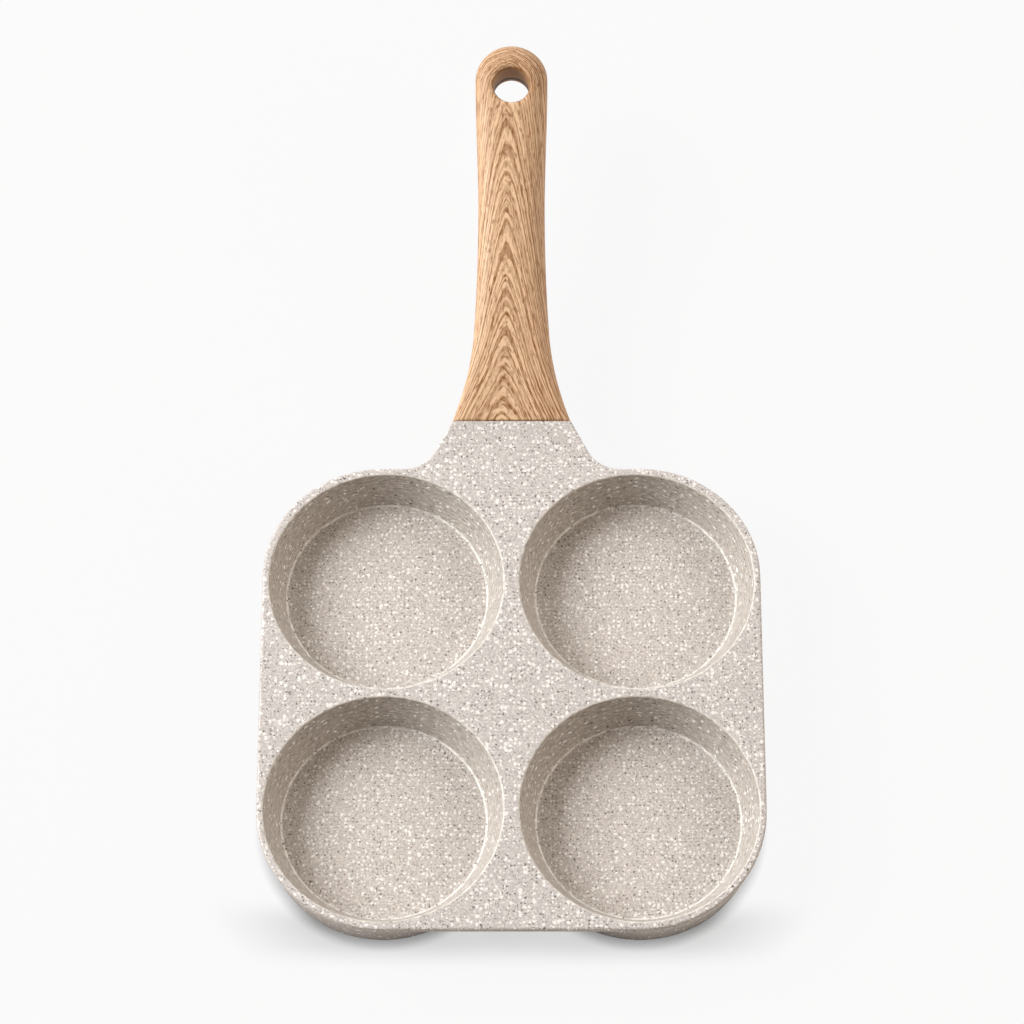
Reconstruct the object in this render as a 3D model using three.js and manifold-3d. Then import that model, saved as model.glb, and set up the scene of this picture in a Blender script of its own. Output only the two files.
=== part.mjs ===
// Four-cup pancake pan: one die-cast aluminium body with a square plate, four round cups and a
// neck, a moulded grip on the neck's tongue, the screw that holds it from below, and a perforated
// steel disc let into the bottom of each cup. Millimetres, +Z up, +X to the right, +Y along the
// handle away from the cook's side, origin on the worktop under the middle of the whole pan.

import * as THREE from 'three';
import { mergeVertices } from 'three/addons/utils/BufferGeometryUtils.js';
import Module from 'manifold-3d';

const wasm = await Module();
wasm.setup();

// Cups, seen from above as circles on a two by two grid
const CUP_RIM_RADIUS = 44.4;
const CUP_FLOOR_RADIUS = 38.2;
const CUP_DEPTH = 15;
const CUP_GAP_ACROSS = 5.7;
const CUP_GAP_ALONG = 3;
const CUP_RIM_ROUND = 0.8;
const CUP_FLOOR_FILLET = 1;
const CUP_WALL_AT_RIM = 1.2;
const CUP_WALL_AT_FLOOR = 5.6;
const CUP_BASE_THICKNESS = 7;
const CUP_BASE_ROUND = 0.8;

// Plate that joins the cup rims
const PLATE_THICKNESS = 2.6;
const PLATE_LIP_SIDE = 2.35;
const PLATE_LIP_FRONT = 3.1;
const PLATE_LIP_BACK = 2.7;
const PLATE_CORNER_EASE_FRONT = 2.7;
const PLATE_CORNER_EASE_BACK = 0.4;

// Neck from the plate's back edge to the grip
const NECK_LENGTH = 19.3;
const NECK_ROOT_DEPTH = 14;
const NECK_FLARE = 10.3;
const NECK_FILLET = 12.4;
const NECK_BELLY = 5;

// Joint between neck and grip, and the rise of the handle
const JOINT_WIDTH = 46;
const JOINT_THICKNESS = 17.5;
const HANDLE_RISE = THREE.MathUtils.degToRad(9);

// Grip
const GRIP_LENGTH = 157.3;
const GRIP_WAIST_WIDTH = 26;
const GRIP_END_WIDTH = 28.4;
const GRIP_END_THICKNESS = 16;
const GRIP_FLARE_LENGTH = 88;
const GRIP_FOOT_LENGTH = 38;
const GRIP_FOOT_FLARE = 5.1;
const JOINT_SQUARENESS = 12;
const GRIP_SQUARENESS = 2.8;
const HANG_HOLE_RADIUS = 7.1;
const HANG_HOLE_FROM_END = 18.3;
const HANG_HOLE_EDGE_ROUND = 1.8;

// Tongue of the neck inside the grip's socket
const TONGUE_WIDTH = 22;
const TONGUE_THICKNESS = 5.5;
const TONGUE_LENGTH = 30;
const TONGUE_BELOW_TOP = 3;

// Screw from below, with its two washers
const SCREW_FROM_JOINT = 17;
const SCREW_RADIUS = 2.5;
const SCREW_HEAD_RADIUS = 4.5;
const SCREW_HEAD_HEIGHT = 2.6;
const SCREW_SLOT_WIDTH = 1.2;
const SCREW_SLOT_LENGTH = 5;
const SCREW_SLOT_DEPTH = 1.6;
const SCREW_TIP_INSET = 1;
const SPRING_WASHER_RADIUS = 4.4;
const SPRING_WASHER_THICKNESS = 1.1;
const SPRING_WASHER_SPLIT = 0.8;
const FLAT_WASHER_RADIUS = 5;
const FLAT_WASHER_THICKNESS = 1;
const SCREW_SEAT_THICKNESS = 2.2;

// Steel discs under the cups
const DISC_RADIUS = 34;
const DISC_THICKNESS = 0.6;
const DISC_RECESS_DEPTH = 1;
const DISC_HOLE_RADIUS = 2.6;
const DISC_INNER_RING_RADIUS = 11.5;
const DISC_OUTER_RING_RADIUS = 23;
const DISC_INNER_HOLES = 6;
const DISC_OUTER_HOLES = 12;

// Free space between pieces that fit into one another
const CLEARANCE = 0.3;

// How finely round shapes are divided
const CUP_SEGMENTS = 48;
const DISC_SEGMENTS = 40;
const SMALL_SEGMENTS = 24;
const PERFORATION_SEGMENTS = 8;
const ARC_SEGMENTS = 2;
const CORNER_SEGMENTS = 12;
const GRIP_SECTION_POINTS = 32;
const GRIP_FLARE_STEPS = 10;
const GRIP_STEP_GROWTH = 1.3;
const GRIP_STRAIGHT_STEPS = 6;
const GRIP_END_STEPS = 8;

// Length by which a cutter runs past the face that it opens
const OVERCUT = 1;

// Distance below which two corners count as one
const SAME_POINT = 1e-4;

// Places that follow from the sizes above
const CUP_X = CUP_RIM_RADIUS + CUP_GAP_ACROSS / 2;
const CUP_Y = CUP_RIM_RADIUS + CUP_GAP_ALONG / 2;
const PLATE_TOP = CUP_DEPTH + CUP_BASE_THICKNESS;
const PLATE_HALF_WIDTH = CUP_X + CUP_RIM_RADIUS + PLATE_LIP_SIDE;
const PLATE_FRONT = -(CUP_Y + CUP_RIM_RADIUS + PLATE_LIP_FRONT);
const PLATE_BACK = CUP_Y + CUP_RIM_RADIUS + PLATE_LIP_BACK;
const JOINT_Y = PLATE_BACK + NECK_LENGTH;
const JOINT_Z = PLATE_TOP + NECK_LENGTH * Math.tan(HANDLE_RISE / 2);
const SOCKET_TOP = -TONGUE_BELOW_TOP + CLEARANCE;
const SOCKET_BOTTOM = -TONGUE_BELOW_TOP - TONGUE_THICKNESS - CLEARANCE;
const SCREW_SEAT = SOCKET_BOTTOM - SCREW_SEAT_THICKNESS;

/** Turns a closed three.js geometry into a solid that can be joined and cut. */
function solidOf(geometry) {
  const bare = geometry.index ? geometry.toNonIndexed() : geometry.clone();
  for (const attribute of ['normal', 'uv']) {
    bare.deleteAttribute(attribute);
  }
  const merged = mergeVertices(bare, SAME_POINT);
  const corners = merged.index.array;
  const kept = [];
  for (let i = 0; i < corners.length; i += 3) {
    const [a, b, c] = [corners[i], corners[i + 1], corners[i + 2]];
    if (a !== b && b !== c && c !== a) {
      kept.push(a, b, c);
    }
  }
  const mesh = new wasm.Mesh({
    numProp: 3,
    vertProperties: Float32Array.from(merged.attributes.position.array),
    triVerts: Uint32Array.from(kept),
  });
  return new wasm.Manifold(mesh);
}

/** Turns a finished solid back into a named mesh with a material of its own. */
function meshOf(name, solid, look) {
  const { vertProperties, triVerts } = solid.getMesh();
  const geometry = new THREE.BufferGeometry();
  geometry.setAttribute('position', new THREE.BufferAttribute(vertProperties, 3));
  geometry.setIndex(new THREE.BufferAttribute(triVerts, 1));
  geometry.computeVertexNormals();
  const mesh = new THREE.Mesh(geometry, new THREE.MeshStandardMaterial(look));
  mesh.name = name;
  return mesh;
}

/** Points of an arc about a centre, from one angle to another, in quarter-round profiles. */
function arcPoints(centreX, centreY, radius, startAngle, endAngle, segments = ARC_SEGMENTS) {
  const points = [];
  for (let i = 0; i <= segments; i += 1) {
    const angle = THREE.MathUtils.lerp(startAngle, endAngle, i / segments);
    const spoke = new THREE.Vector2(radius * Math.cos(angle), radius * Math.sin(angle));
    points.push(spoke.add(new THREE.Vector2(centreX, centreY)));
  }
  return points;
}

/** A solid turned about Z from a profile of radius and height that runs upward from axis to axis. */
function turned(profile, segments) {
  return solidOf(new THREE.LatheGeometry(profile, segments).rotateX(Math.PI / 2));
}

/** A solid pushed up along Z from a flat outline. */
function pushed(shape, bottom, top, curveSegments = CORNER_SEGMENTS) {
  const options = { depth: top - bottom, bevelEnabled: false, curveSegments };
  return solidOf(new THREE.ExtrudeGeometry(shape, options).translate(0, 0, bottom));
}

/** A plain cylinder along Z between two heights. */
function rod(radius, bottom, top, segments = SMALL_SEGMENTS) {
  const profile = [
    new THREE.Vector2(0, bottom),
    new THREE.Vector2(radius, bottom),
    new THREE.Vector2(radius, top),
    new THREE.Vector2(0, top),
  ];
  return turned(profile, segments);
}

/** A box given by its middle in X and by its limits in Y and Z. */
function block(width, back, front, bottom, top) {
  const box = new THREE.BoxGeometry(width, front - back, top - bottom);
  return solidOf(box.translate(0, (front + back) / 2, (top + bottom) / 2));
}

/** Middles of the four cups, with the words that name them. */
function cupPlaces() {
  const places = [];
  for (const [row, y] of [['front', -CUP_Y], ['back', CUP_Y]]) {
    for (const [side, x] of [['left', -CUP_X], ['right', CUP_X]]) {
      places.push({ label: `${row}_${side}`, x, y });
    }
  }
  return places;
}

/** Middles of the holes in one disc, round its own middle. */
function perforations() {
  const places = [];
  const rings = [
    [DISC_INNER_HOLES, DISC_INNER_RING_RADIUS],
    [DISC_OUTER_HOLES, DISC_OUTER_RING_RADIUS],
  ];
  for (const [count, radius] of rings) {
    for (let i = 0; i < count; i += 1) {
      const angle = (i / count) * Math.PI * 2;
      places.push(new THREE.Vector2(radius * Math.cos(angle), radius * Math.sin(angle)));
    }
  }
  return places;
}

/** The plate's outline: a square whose corners follow the cup rims, tighter at the back than in front. */
function plateOutline() {
  const shape = new THREE.Shape();
  const frontRadius = CUP_RIM_RADIUS + PLATE_CORNER_EASE_FRONT;
  const backRadius = CUP_RIM_RADIUS + PLATE_CORNER_EASE_BACK;
  const frontX = PLATE_HALF_WIDTH - frontRadius;
  const frontY = PLATE_FRONT + frontRadius;
  const backX = PLATE_HALF_WIDTH - backRadius;
  const backY = PLATE_BACK - backRadius;
  const quarter = Math.PI / 2;
  shape.absarc(backX, backY, backRadius, 0, quarter);
  shape.absarc(-backX, backY, backRadius, quarter, 2 * quarter);
  shape.absarc(-frontX, frontY, frontRadius, 2 * quarter, 3 * quarter);
  shape.absarc(frontX, frontY, frontRadius, 3 * quarter, 4 * quarter);
  shape.closePath();
  return shape;
}

/** The outside of one cup, from the base up into the plate. */
function cupOutside() {
  const baseRadius = CUP_FLOOR_RADIUS + CUP_WALL_AT_FLOOR;
  const topRadius = CUP_RIM_RADIUS + CUP_WALL_AT_RIM;
  const roundX = baseRadius - CUP_BASE_ROUND;
  const profile = [
    new THREE.Vector2(0, 0),
    ...arcPoints(roundX, CUP_BASE_ROUND, CUP_BASE_ROUND, -Math.PI / 2, 0),
    new THREE.Vector2(topRadius, PLATE_TOP - PLATE_THICKNESS / 2),
    new THREE.Vector2(0, PLATE_TOP - PLATE_THICKNESS / 2),
  ];
  return turned(profile, CUP_SEGMENTS);
}

/** The hollow of one cup: floor, fillet, sloping wall and rounded rim. */
function cupInside() {
  const slope = Math.atan2(CUP_RIM_RADIUS - CUP_FLOOR_RADIUS, CUP_DEPTH);
  const filletX = CUP_FLOOR_RADIUS - CUP_FLOOR_FILLET * Math.tan(Math.PI / 4 - slope / 2);
  const filletY = CUP_BASE_THICKNESS + CUP_FLOOR_FILLET;
  const rimX = CUP_RIM_RADIUS + CUP_RIM_ROUND * Math.tan(Math.PI / 4 - slope / 2);
  const rimY = PLATE_TOP - CUP_RIM_ROUND;
  const profile = [
    new THREE.Vector2(0, CUP_BASE_THICKNESS),
    ...arcPoints(filletX, filletY, CUP_FLOOR_FILLET, -Math.PI / 2, -slope),
    ...arcPoints(rimX, rimY, CUP_RIM_ROUND, Math.PI - slope, Math.PI / 2),
    new THREE.Vector2(rimX, PLATE_TOP + OVERCUT),
    new THREE.Vector2(0, PLATE_TOP + OVERCUT),
  ];
  return turned(profile, CUP_SEGMENTS);
}

/** The recess under one cup, with the pegs that stand in the disc's holes left uncut. */
function discRecess() {
  let recess = rod(DISC_RADIUS + CLEARANCE, -OVERCUT, DISC_RECESS_DEPTH, DISC_SEGMENTS);
  const pegRadius = DISC_HOLE_RADIUS - CLEARANCE;
  const pegBottom = DISC_RECESS_DEPTH - DISC_THICKNESS;
  for (const place of perforations()) {
    const peg = rod(pegRadius, pegBottom, DISC_RECESS_DEPTH + OVERCUT, PERFORATION_SEGMENTS);
    recess = recess.subtract(peg.translate([place.x, place.y, 0]));
  }
  return recess;
}

/** One half of the neck's plan: straight flare, then a fillet onto the plate's back edge. */
function neckSide() {
  const joint = new THREE.Vector2(JOINT_WIDTH / 2, JOINT_Y);
  const corner = new THREE.Vector2(JOINT_WIDTH / 2 + NECK_FLARE, PLATE_BACK);
  const flareAngle = Math.atan2(NECK_FLARE, NECK_LENGTH);
  const turn = Math.PI / 2 - flareAngle;
  const centreX = corner.x + NECK_FILLET * Math.tan(turn / 2);
  const centreY = PLATE_BACK + NECK_FILLET;
  const start = Math.PI + flareAngle;
  const end = Math.PI * 1.5;
  const fillet = arcPoints(centreX, centreY, NECK_FILLET, start, end, CORNER_SEGMENTS / 2);
  return [joint, ...fillet];
}

/** The neck: its plan pushed upward, kept only inside its side view pushed across. */
function neckBody() {
  const reach = JOINT_THICKNESS * Math.sin(HANDLE_RISE);
  const side = neckSide();
  const root = side[side.length - 1].x;
  const right = [
    new THREE.Vector2(JOINT_WIDTH / 2, JOINT_Y + reach + OVERCUT),
    ...side,
    new THREE.Vector2(root, PLATE_BACK - NECK_ROOT_DEPTH),
  ];
  const left = right.map((point) => new THREE.Vector2(-point.x, point.y)).reverse();
  const plan = pushed(new THREE.Shape([...left, ...right].reverse()), -OVERCUT, JOINT_Z + OVERCUT);

  const radius = NECK_LENGTH / Math.sin(HANDLE_RISE);
  const down = -Math.PI / 2;
  const centreZ = PLATE_TOP + radius;
  const topArc = arcPoints(PLATE_BACK, centreZ, radius, down, down + HANDLE_RISE, CORNER_SEGMENTS / 2);
  const rootY = PLATE_BACK - NECK_ROOT_DEPTH;
  const plateBottom = PLATE_TOP - PLATE_THICKNESS;
  const drop = JOINT_THICKNESS * Math.cos(HANDLE_RISE);
  const jointBottom = new THREE.Vector2(JOINT_Y + reach, JOINT_Z - drop);
  const belly = new THREE.QuadraticBezierCurve(
    jointBottom,
    new THREE.Vector2(PLATE_BACK, jointBottom.y + NECK_BELLY),
    new THREE.Vector2(rootY, plateBottom),
  );
  const view = new THREE.Shape([
    new THREE.Vector2(rootY, PLATE_TOP),
    ...topArc,
    ...belly.getPoints(CORNER_SEGMENTS / 2),
  ].reverse());
  const span = 2 * root + 2 * OVERCUT;
  const across = new THREE.ExtrudeGeometry(view, { depth: span, bevelEnabled: false });
  across.translate(0, 0, -span / 2);
  const standing = new THREE.Matrix4().makeBasis(
    new THREE.Vector3(0, 1, 0), new THREE.Vector3(0, 0, 1), new THREE.Vector3(1, 0, 0),
  );
  return plan.intersect(solidOf(across.applyMatrix4(standing)));
}

/** Moves a solid from the handle's own frame, Y along the grip and Z out of its top, to the pan's. */
function onHandle(solid) {
  return solid.rotate([THREE.MathUtils.radToDeg(HANDLE_RISE), 0, 0]).translate([0, JOINT_Y, JOINT_Z]);
}

/** The tongue, from inside the neck to its end in the grip, with the tapped hole for the screw. */
function tongue() {
  const top = -TONGUE_BELOW_TOP;
  const bar = block(TONGUE_WIDTH, -NECK_LENGTH / 2, TONGUE_LENGTH, top - TONGUE_THICKNESS, top);
  const hole = rod(SCREW_RADIUS + CLEARANCE, top - TONGUE_THICKNESS - OVERCUT, top + OVERCUT);
  return bar.subtract(hole.translate([0, SCREW_FROM_JOINT, 0]));
}

/** The whole casting: plate, neck, tongue and cups, hollowed above and recessed below. */
function panCasting() {
  let body = pushed(plateOutline(), PLATE_TOP - PLATE_THICKNESS, PLATE_TOP);
  body = body.add(neckBody()).add(onHandle(tongue()));
  const outside = cupOutside();
  const inside = cupInside();
  const recess = discRecess();
  for (const { x, y } of cupPlaces()) {
    body = body.add(outside.translate([x, y, 0]));
  }
  for (const { x, y } of cupPlaces()) {
    body = body.subtract(inside.translate([x, y, 0])).subtract(recess.translate([x, y, 0]));
  }
  return body;
}

/** One perforated disc, lying on the ceiling of its recess. */
function steelDisc() {
  const shape = new THREE.Shape();
  shape.absarc(0, 0, DISC_RADIUS, 0, Math.PI * 2);
  const top = DISC_RECESS_DEPTH;
  const bottom = top - DISC_THICKNESS;
  const hole = rod(DISC_HOLE_RADIUS, bottom - OVERCUT, top + OVERCUT, PERFORATION_SEGMENTS);
  let disc = pushed(shape, bottom, top, DISC_SEGMENTS);
  for (const place of perforations()) {
    disc = disc.subtract(hole.translate([place.x, place.y, 0]));
  }
  return disc;
}

/** Section of the grip at a distance from the joint: half width, thickness and squareness. */
function gripSection(along) {
  const endStart = GRIP_LENGTH - GRIP_END_WIDTH / 2;
  const flare = Math.max(0, 1 - along / GRIP_FLARE_LENGTH) ** 2;
  const foot = Math.max(0, 1 - along / GRIP_FOOT_LENGTH) ** 2;
  const swell = THREE.MathUtils.smoothstep(along, GRIP_FLARE_LENGTH, endStart);
  const waist = THREE.MathUtils.lerp(GRIP_WAIST_WIDTH, GRIP_END_WIDTH, swell) / 2;
  const longFlare = (JOINT_WIDTH - GRIP_WAIST_WIDTH) / 2 - GRIP_FOOT_FLARE;
  return {
    halfWidth: waist + longFlare * flare + GRIP_FOOT_FLARE * foot,
    thickness: THREE.MathUtils.lerp(JOINT_THICKNESS, GRIP_END_THICKNESS, along / endStart),
    squareness: THREE.MathUtils.lerp(GRIP_SQUARENESS, JOINT_SQUARENESS, flare ** 2),
  };
}

/** One closed ring of the grip's skin. A turn above zero swings both halves round the end's middle. */
function gripRing(along, turn) {
  const { halfWidth, thickness, squareness } = gripSection(along);
  const ring = [];
  for (let i = 0; i < GRIP_SECTION_POINTS; i += 1) {
    const angle = ((i + 0.5) / GRIP_SECTION_POINTS) * Math.PI * 2;
    const side = Math.cos(angle);
    const rise = Math.sin(angle);
    const out = halfWidth * Math.abs(side) ** (2 / squareness);
    const up = (thickness / 2) * Math.sign(rise) * Math.abs(rise) ** (2 / squareness);
    const x = Math.sign(side) * out * Math.cos(turn);
    ring.push(new THREE.Vector3(x, along + out * Math.sin(turn), up - thickness / 2));
  }
  return ring;
}

/** The grip's outer skin: flare, straight stretch and round end, closed flat at the joint. */
function gripSkin() {
  const rings = [];
  const endStart = GRIP_LENGTH - GRIP_END_WIDTH / 2;
  const start = CLEARANCE;
  for (let i = 0; i < GRIP_FLARE_STEPS; i += 1) {
    const share = (i / GRIP_FLARE_STEPS) ** GRIP_STEP_GROWTH;
    rings.push(gripRing(THREE.MathUtils.lerp(start, GRIP_FLARE_LENGTH, share), 0));
  }
  for (let i = 0; i < GRIP_STRAIGHT_STEPS; i += 1) {
    rings.push(gripRing(THREE.MathUtils.lerp(GRIP_FLARE_LENGTH, endStart, i / GRIP_STRAIGHT_STEPS), 0));
  }
  for (let i = 0; i < GRIP_END_STEPS; i += 1) {
    rings.push(gripRing(endStart, (i / GRIP_END_STEPS) * (Math.PI / 2)));
  }
  const seam = gripRing(endStart, Math.PI / 2);
  seam.forEach((point) => point.setX(0));
  rings.push(seam);

  const triangles = [];
  for (let r = 0; r + 1 < rings.length; r += 1) {
    for (let i = 0; i < GRIP_SECTION_POINTS; i += 1) {
      const next = (i + 1) % GRIP_SECTION_POINTS;
      const [a, b, c, d] = [rings[r][i], rings[r][next], rings[r + 1][next], rings[r + 1][i]];
      triangles.push(a, c, b, a, d, c);
    }
  }
  const middle = new THREE.Vector3(0, start, -JOINT_THICKNESS / 2);
  for (let i = 0; i < GRIP_SECTION_POINTS; i += 1) {
    triangles.push(middle, rings[0][i], rings[0][(i + 1) % GRIP_SECTION_POINTS]);
  }
  return solidOf(new THREE.BufferGeometry().setFromPoints(triangles));
}

/** The hang hole: a bore whose two edges are rounded into the grip's faces. */
function hangHole() {
  const along = GRIP_LENGTH - HANG_HOLE_FROM_END;
  const { thickness } = gripSection(along);
  const round = HANG_HOLE_EDGE_ROUND;
  const wide = HANG_HOLE_RADIUS + round;
  const profile = [
    new THREE.Vector2(0, -thickness - OVERCUT),
    new THREE.Vector2(wide, -thickness - OVERCUT),
    ...arcPoints(wide, -thickness + round, round, Math.PI * 1.5, Math.PI),
    ...arcPoints(wide, -round, round, Math.PI, Math.PI / 2),
    new THREE.Vector2(wide, OVERCUT),
    new THREE.Vector2(0, OVERCUT),
  ];
  return turned(profile, SMALL_SEGMENTS).translate([0, along, 0]);
}

/** The grip: its skin cut by the socket, the screw's two bores and the hang hole. */
function handleGrip() {
  const socketWidth = TONGUE_WIDTH + 2 * CLEARANCE;
  const socket = block(socketWidth, -OVERCUT, TONGUE_LENGTH + CLEARANCE, SOCKET_BOTTOM, SOCKET_TOP);
  const { thickness } = gripSection(SCREW_FROM_JOINT);
  const shankBore = rod(SCREW_RADIUS + CLEARANCE, SCREW_SEAT - OVERCUT, SOCKET_BOTTOM + OVERCUT);
  const headBore = rod(FLAT_WASHER_RADIUS + CLEARANCE, -thickness - OVERCUT, SCREW_SEAT);
  return gripSkin()
    .subtract(socket)
    .subtract(shankBore.add(headBore).translate([0, SCREW_FROM_JOINT, 0]))
    .subtract(hangHole());
}

/** A washer under the screw's head, lying just below a height. */
function washer(radius, thickness, top) {
  const bore = rod(SCREW_RADIUS + CLEARANCE, top - thickness - OVERCUT, top + OVERCUT);
  return rod(radius, top - thickness, top).subtract(bore);
}

/** The screw and its washers, each in its place in the handle's frame. */
function screwStack() {
  const flatTop = SCREW_SEAT - CLEARANCE;
  const springTop = flatTop - FLAT_WASHER_THICKNESS - CLEARANCE;
  const headTop = springTop - SPRING_WASHER_THICKNESS - CLEARANCE;
  const headBottom = headTop - SCREW_HEAD_HEIGHT;
  const split = block(
    SPRING_WASHER_SPLIT, 0, SPRING_WASHER_RADIUS + OVERCUT,
    springTop - SPRING_WASHER_THICKNESS - OVERCUT, springTop + OVERCUT,
  );
  const slot = block(
    SCREW_SLOT_WIDTH, -SCREW_SLOT_LENGTH / 2, SCREW_SLOT_LENGTH / 2,
    headBottom - OVERCUT, headBottom + SCREW_SLOT_DEPTH,
  );
  const head = rod(SCREW_HEAD_RADIUS, headBottom, headTop).subtract(slot.add(slot.rotate([0, 0, 90])));
  const shank = rod(SCREW_RADIUS, headTop - OVERCUT, -TONGUE_BELOW_TOP - SCREW_TIP_INSET);
  const pieces = {
    handle_screw: head.add(shank),
    spring_washer: washer(SPRING_WASHER_RADIUS, SPRING_WASHER_THICKNESS, springTop).subtract(split),
    flat_washer: washer(FLAT_WASHER_RADIUS, FLAT_WASHER_THICKNESS, flatTop),
  };
  const place = [0, SCREW_FROM_JOINT, 0];
  return Object.entries(pieces).map(([name, solid]) => [name, solid.translate(place)]);
}

const COATED_ALUMINIUM = { color: 0xcdc4bb, roughness: 0.55, metalness: 0.1 };
const WOOD_EFFECT = { color: 0xc8996a, roughness: 0.5, metalness: 0 };
const STAINLESS_STEEL = { color: 0xb9bbbd, roughness: 0.35, metalness: 1 };
const ZINC_STEEL = { color: 0xc6c8c8, roughness: 0.4, metalness: 1 };

const pan = new THREE.Group();
pan.add(meshOf('pan_casting', panCasting(), COATED_ALUMINIUM));

const disc = steelDisc();
for (const { label, x, y } of cupPlaces()) {
  const mesh = meshOf(`induction_disc_${label}`, disc, STAINLESS_STEEL);
  mesh.position.set(x, y, 0);
  pan.add(mesh);
}

const handle = new THREE.Group();
handle.position.set(0, JOINT_Y, JOINT_Z);
handle.rotation.x = HANDLE_RISE;
handle.add(meshOf('handle_grip', handleGrip(), WOOD_EFFECT));
for (const [name, solid] of screwStack()) {
  handle.add(meshOf(name, solid, ZINC_STEEL));
}
pan.add(handle);

// The origin is under the middle of the whole pan, at the level of the cup bottoms
const extent = new THREE.Box3().setFromObject(pan, true);
pan.position.set(0, -(extent.min.y + extent.max.y) / 2, -extent.min.z);

export default pan;
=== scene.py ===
"""Builds the looks of a four-cup pancake pan round its CAD frame.

A cast aluminium body under a granite-effect coat carries four cups, a grip with a wood-effect film,
the screw that holds the grip from below, and a perforated steel disc under each cup.
"""

import math
from collections import Counter
from functools import partial

import bmesh
import bpy
from bpy.props import FloatProperty, FloatVectorProperty, IntProperty, PointerProperty
from bpy.types import Operator, Panel, PropertyGroup
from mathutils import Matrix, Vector


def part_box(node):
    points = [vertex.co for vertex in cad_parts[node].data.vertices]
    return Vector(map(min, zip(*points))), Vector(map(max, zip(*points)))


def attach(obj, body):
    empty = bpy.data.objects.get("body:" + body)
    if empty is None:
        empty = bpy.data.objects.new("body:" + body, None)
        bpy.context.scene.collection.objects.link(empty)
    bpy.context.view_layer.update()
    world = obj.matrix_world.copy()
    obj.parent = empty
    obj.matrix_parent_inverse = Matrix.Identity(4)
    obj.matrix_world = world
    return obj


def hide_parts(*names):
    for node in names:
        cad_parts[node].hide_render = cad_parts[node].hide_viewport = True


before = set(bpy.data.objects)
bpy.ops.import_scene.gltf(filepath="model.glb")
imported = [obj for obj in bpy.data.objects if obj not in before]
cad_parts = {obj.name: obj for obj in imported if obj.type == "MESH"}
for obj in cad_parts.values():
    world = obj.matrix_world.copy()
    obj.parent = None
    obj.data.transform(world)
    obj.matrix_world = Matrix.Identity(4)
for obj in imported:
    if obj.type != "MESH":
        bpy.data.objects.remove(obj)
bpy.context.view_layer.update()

bl_info = {
    "name": "Pancake pan",
    "version": (1, 0, 0),
    "blender": (4, 5, 0),
    "location": "View3D > Sidebar > Pancake pan",
    "description": "Models a four-cup pancake pan with a granite-effect coat and a wood-effect grip",
    "category": "Add Mesh",
}

MM = 0.001
HAIR = 0.01 * MM
CUPS = ("front_left", "front_right", "back_left", "back_right")

# Chips, fines and dots of the coat in each zone: spacing, share of places that hold one, least and largest radius.
# All but the share are in millimetres. The real fines are smaller than a pixel, so they are drawn coarser.
SPECKS = {
    "plate": ((1.75, 0.72, 0.18, 0.78), (1.2, 0.42, 0.14, 0.28), (1.35, 0.6, 0.12, 0.36)),
    "floor": ((1.7, 0.7, 0.18, 0.62), (1.1, 0.42, 0.14, 0.26), (1.3, 0.6, 0.12, 0.32)),
    "wall": ((2.0, 0.5, 0.16, 0.45), (1.2, 0.4, 0.12, 0.22), (1.7, 0.45, 0.14, 0.28)),
    "outside": ((1.55, 0.6, 0.2, 0.58), (1.2, 0.4, 0.14, 0.28), (1.5, 0.5, 0.2, 0.36)),
}
SPECK_EDGE = 0.04


def cup_middle(cup):
    """The middle of a cup, taken from the steel disc under it."""
    low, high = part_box(f"induction_disc_{cup}")
    return Vector(((low.x + high.x) / 2, (low.y + high.y) / 2, 0))


CUP_PLACES = [cup_middle(cup) for cup in CUPS]
CUP_MIDDLE = sum(CUP_PLACES, Vector()) / len(CUP_PLACES)


def linear(colour):
    """Turns an sRGB hex colour into the linear values that shaders and colour settings use."""
    parts = [int(colour[i : i + 2], 16) / 255 for i in (1, 3, 5)]
    return [p / 12.92 if p <= 0.04045 else ((p + 0.055) / 1.055) ** 2.4 for p in parts]


def length(name, description, default):
    """A size in metres that a user may change."""
    return FloatProperty(name=name, description=description, default=default, min=0, unit="LENGTH", precision=5)


def number(name, description, default, **kind):
    """A number that a user may change."""
    return FloatProperty(name=name, description=description, default=default, **kind)


def place(name, description, default):
    """A place along an axis, in metres, that a user may change."""
    return FloatProperty(name=name, description=description, default=default, unit="LENGTH", precision=5)


def angle(name, description, degrees):
    """An angle that a user may change."""
    return FloatProperty(name=name, description=description, default=math.radians(degrees), subtype="ANGLE")


def colour(name, description, default):
    """A colour that a user may change."""
    return FloatVectorProperty(
        name=name, description=description, default=linear(default), min=0, max=1, subtype="COLOR"
    )


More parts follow.
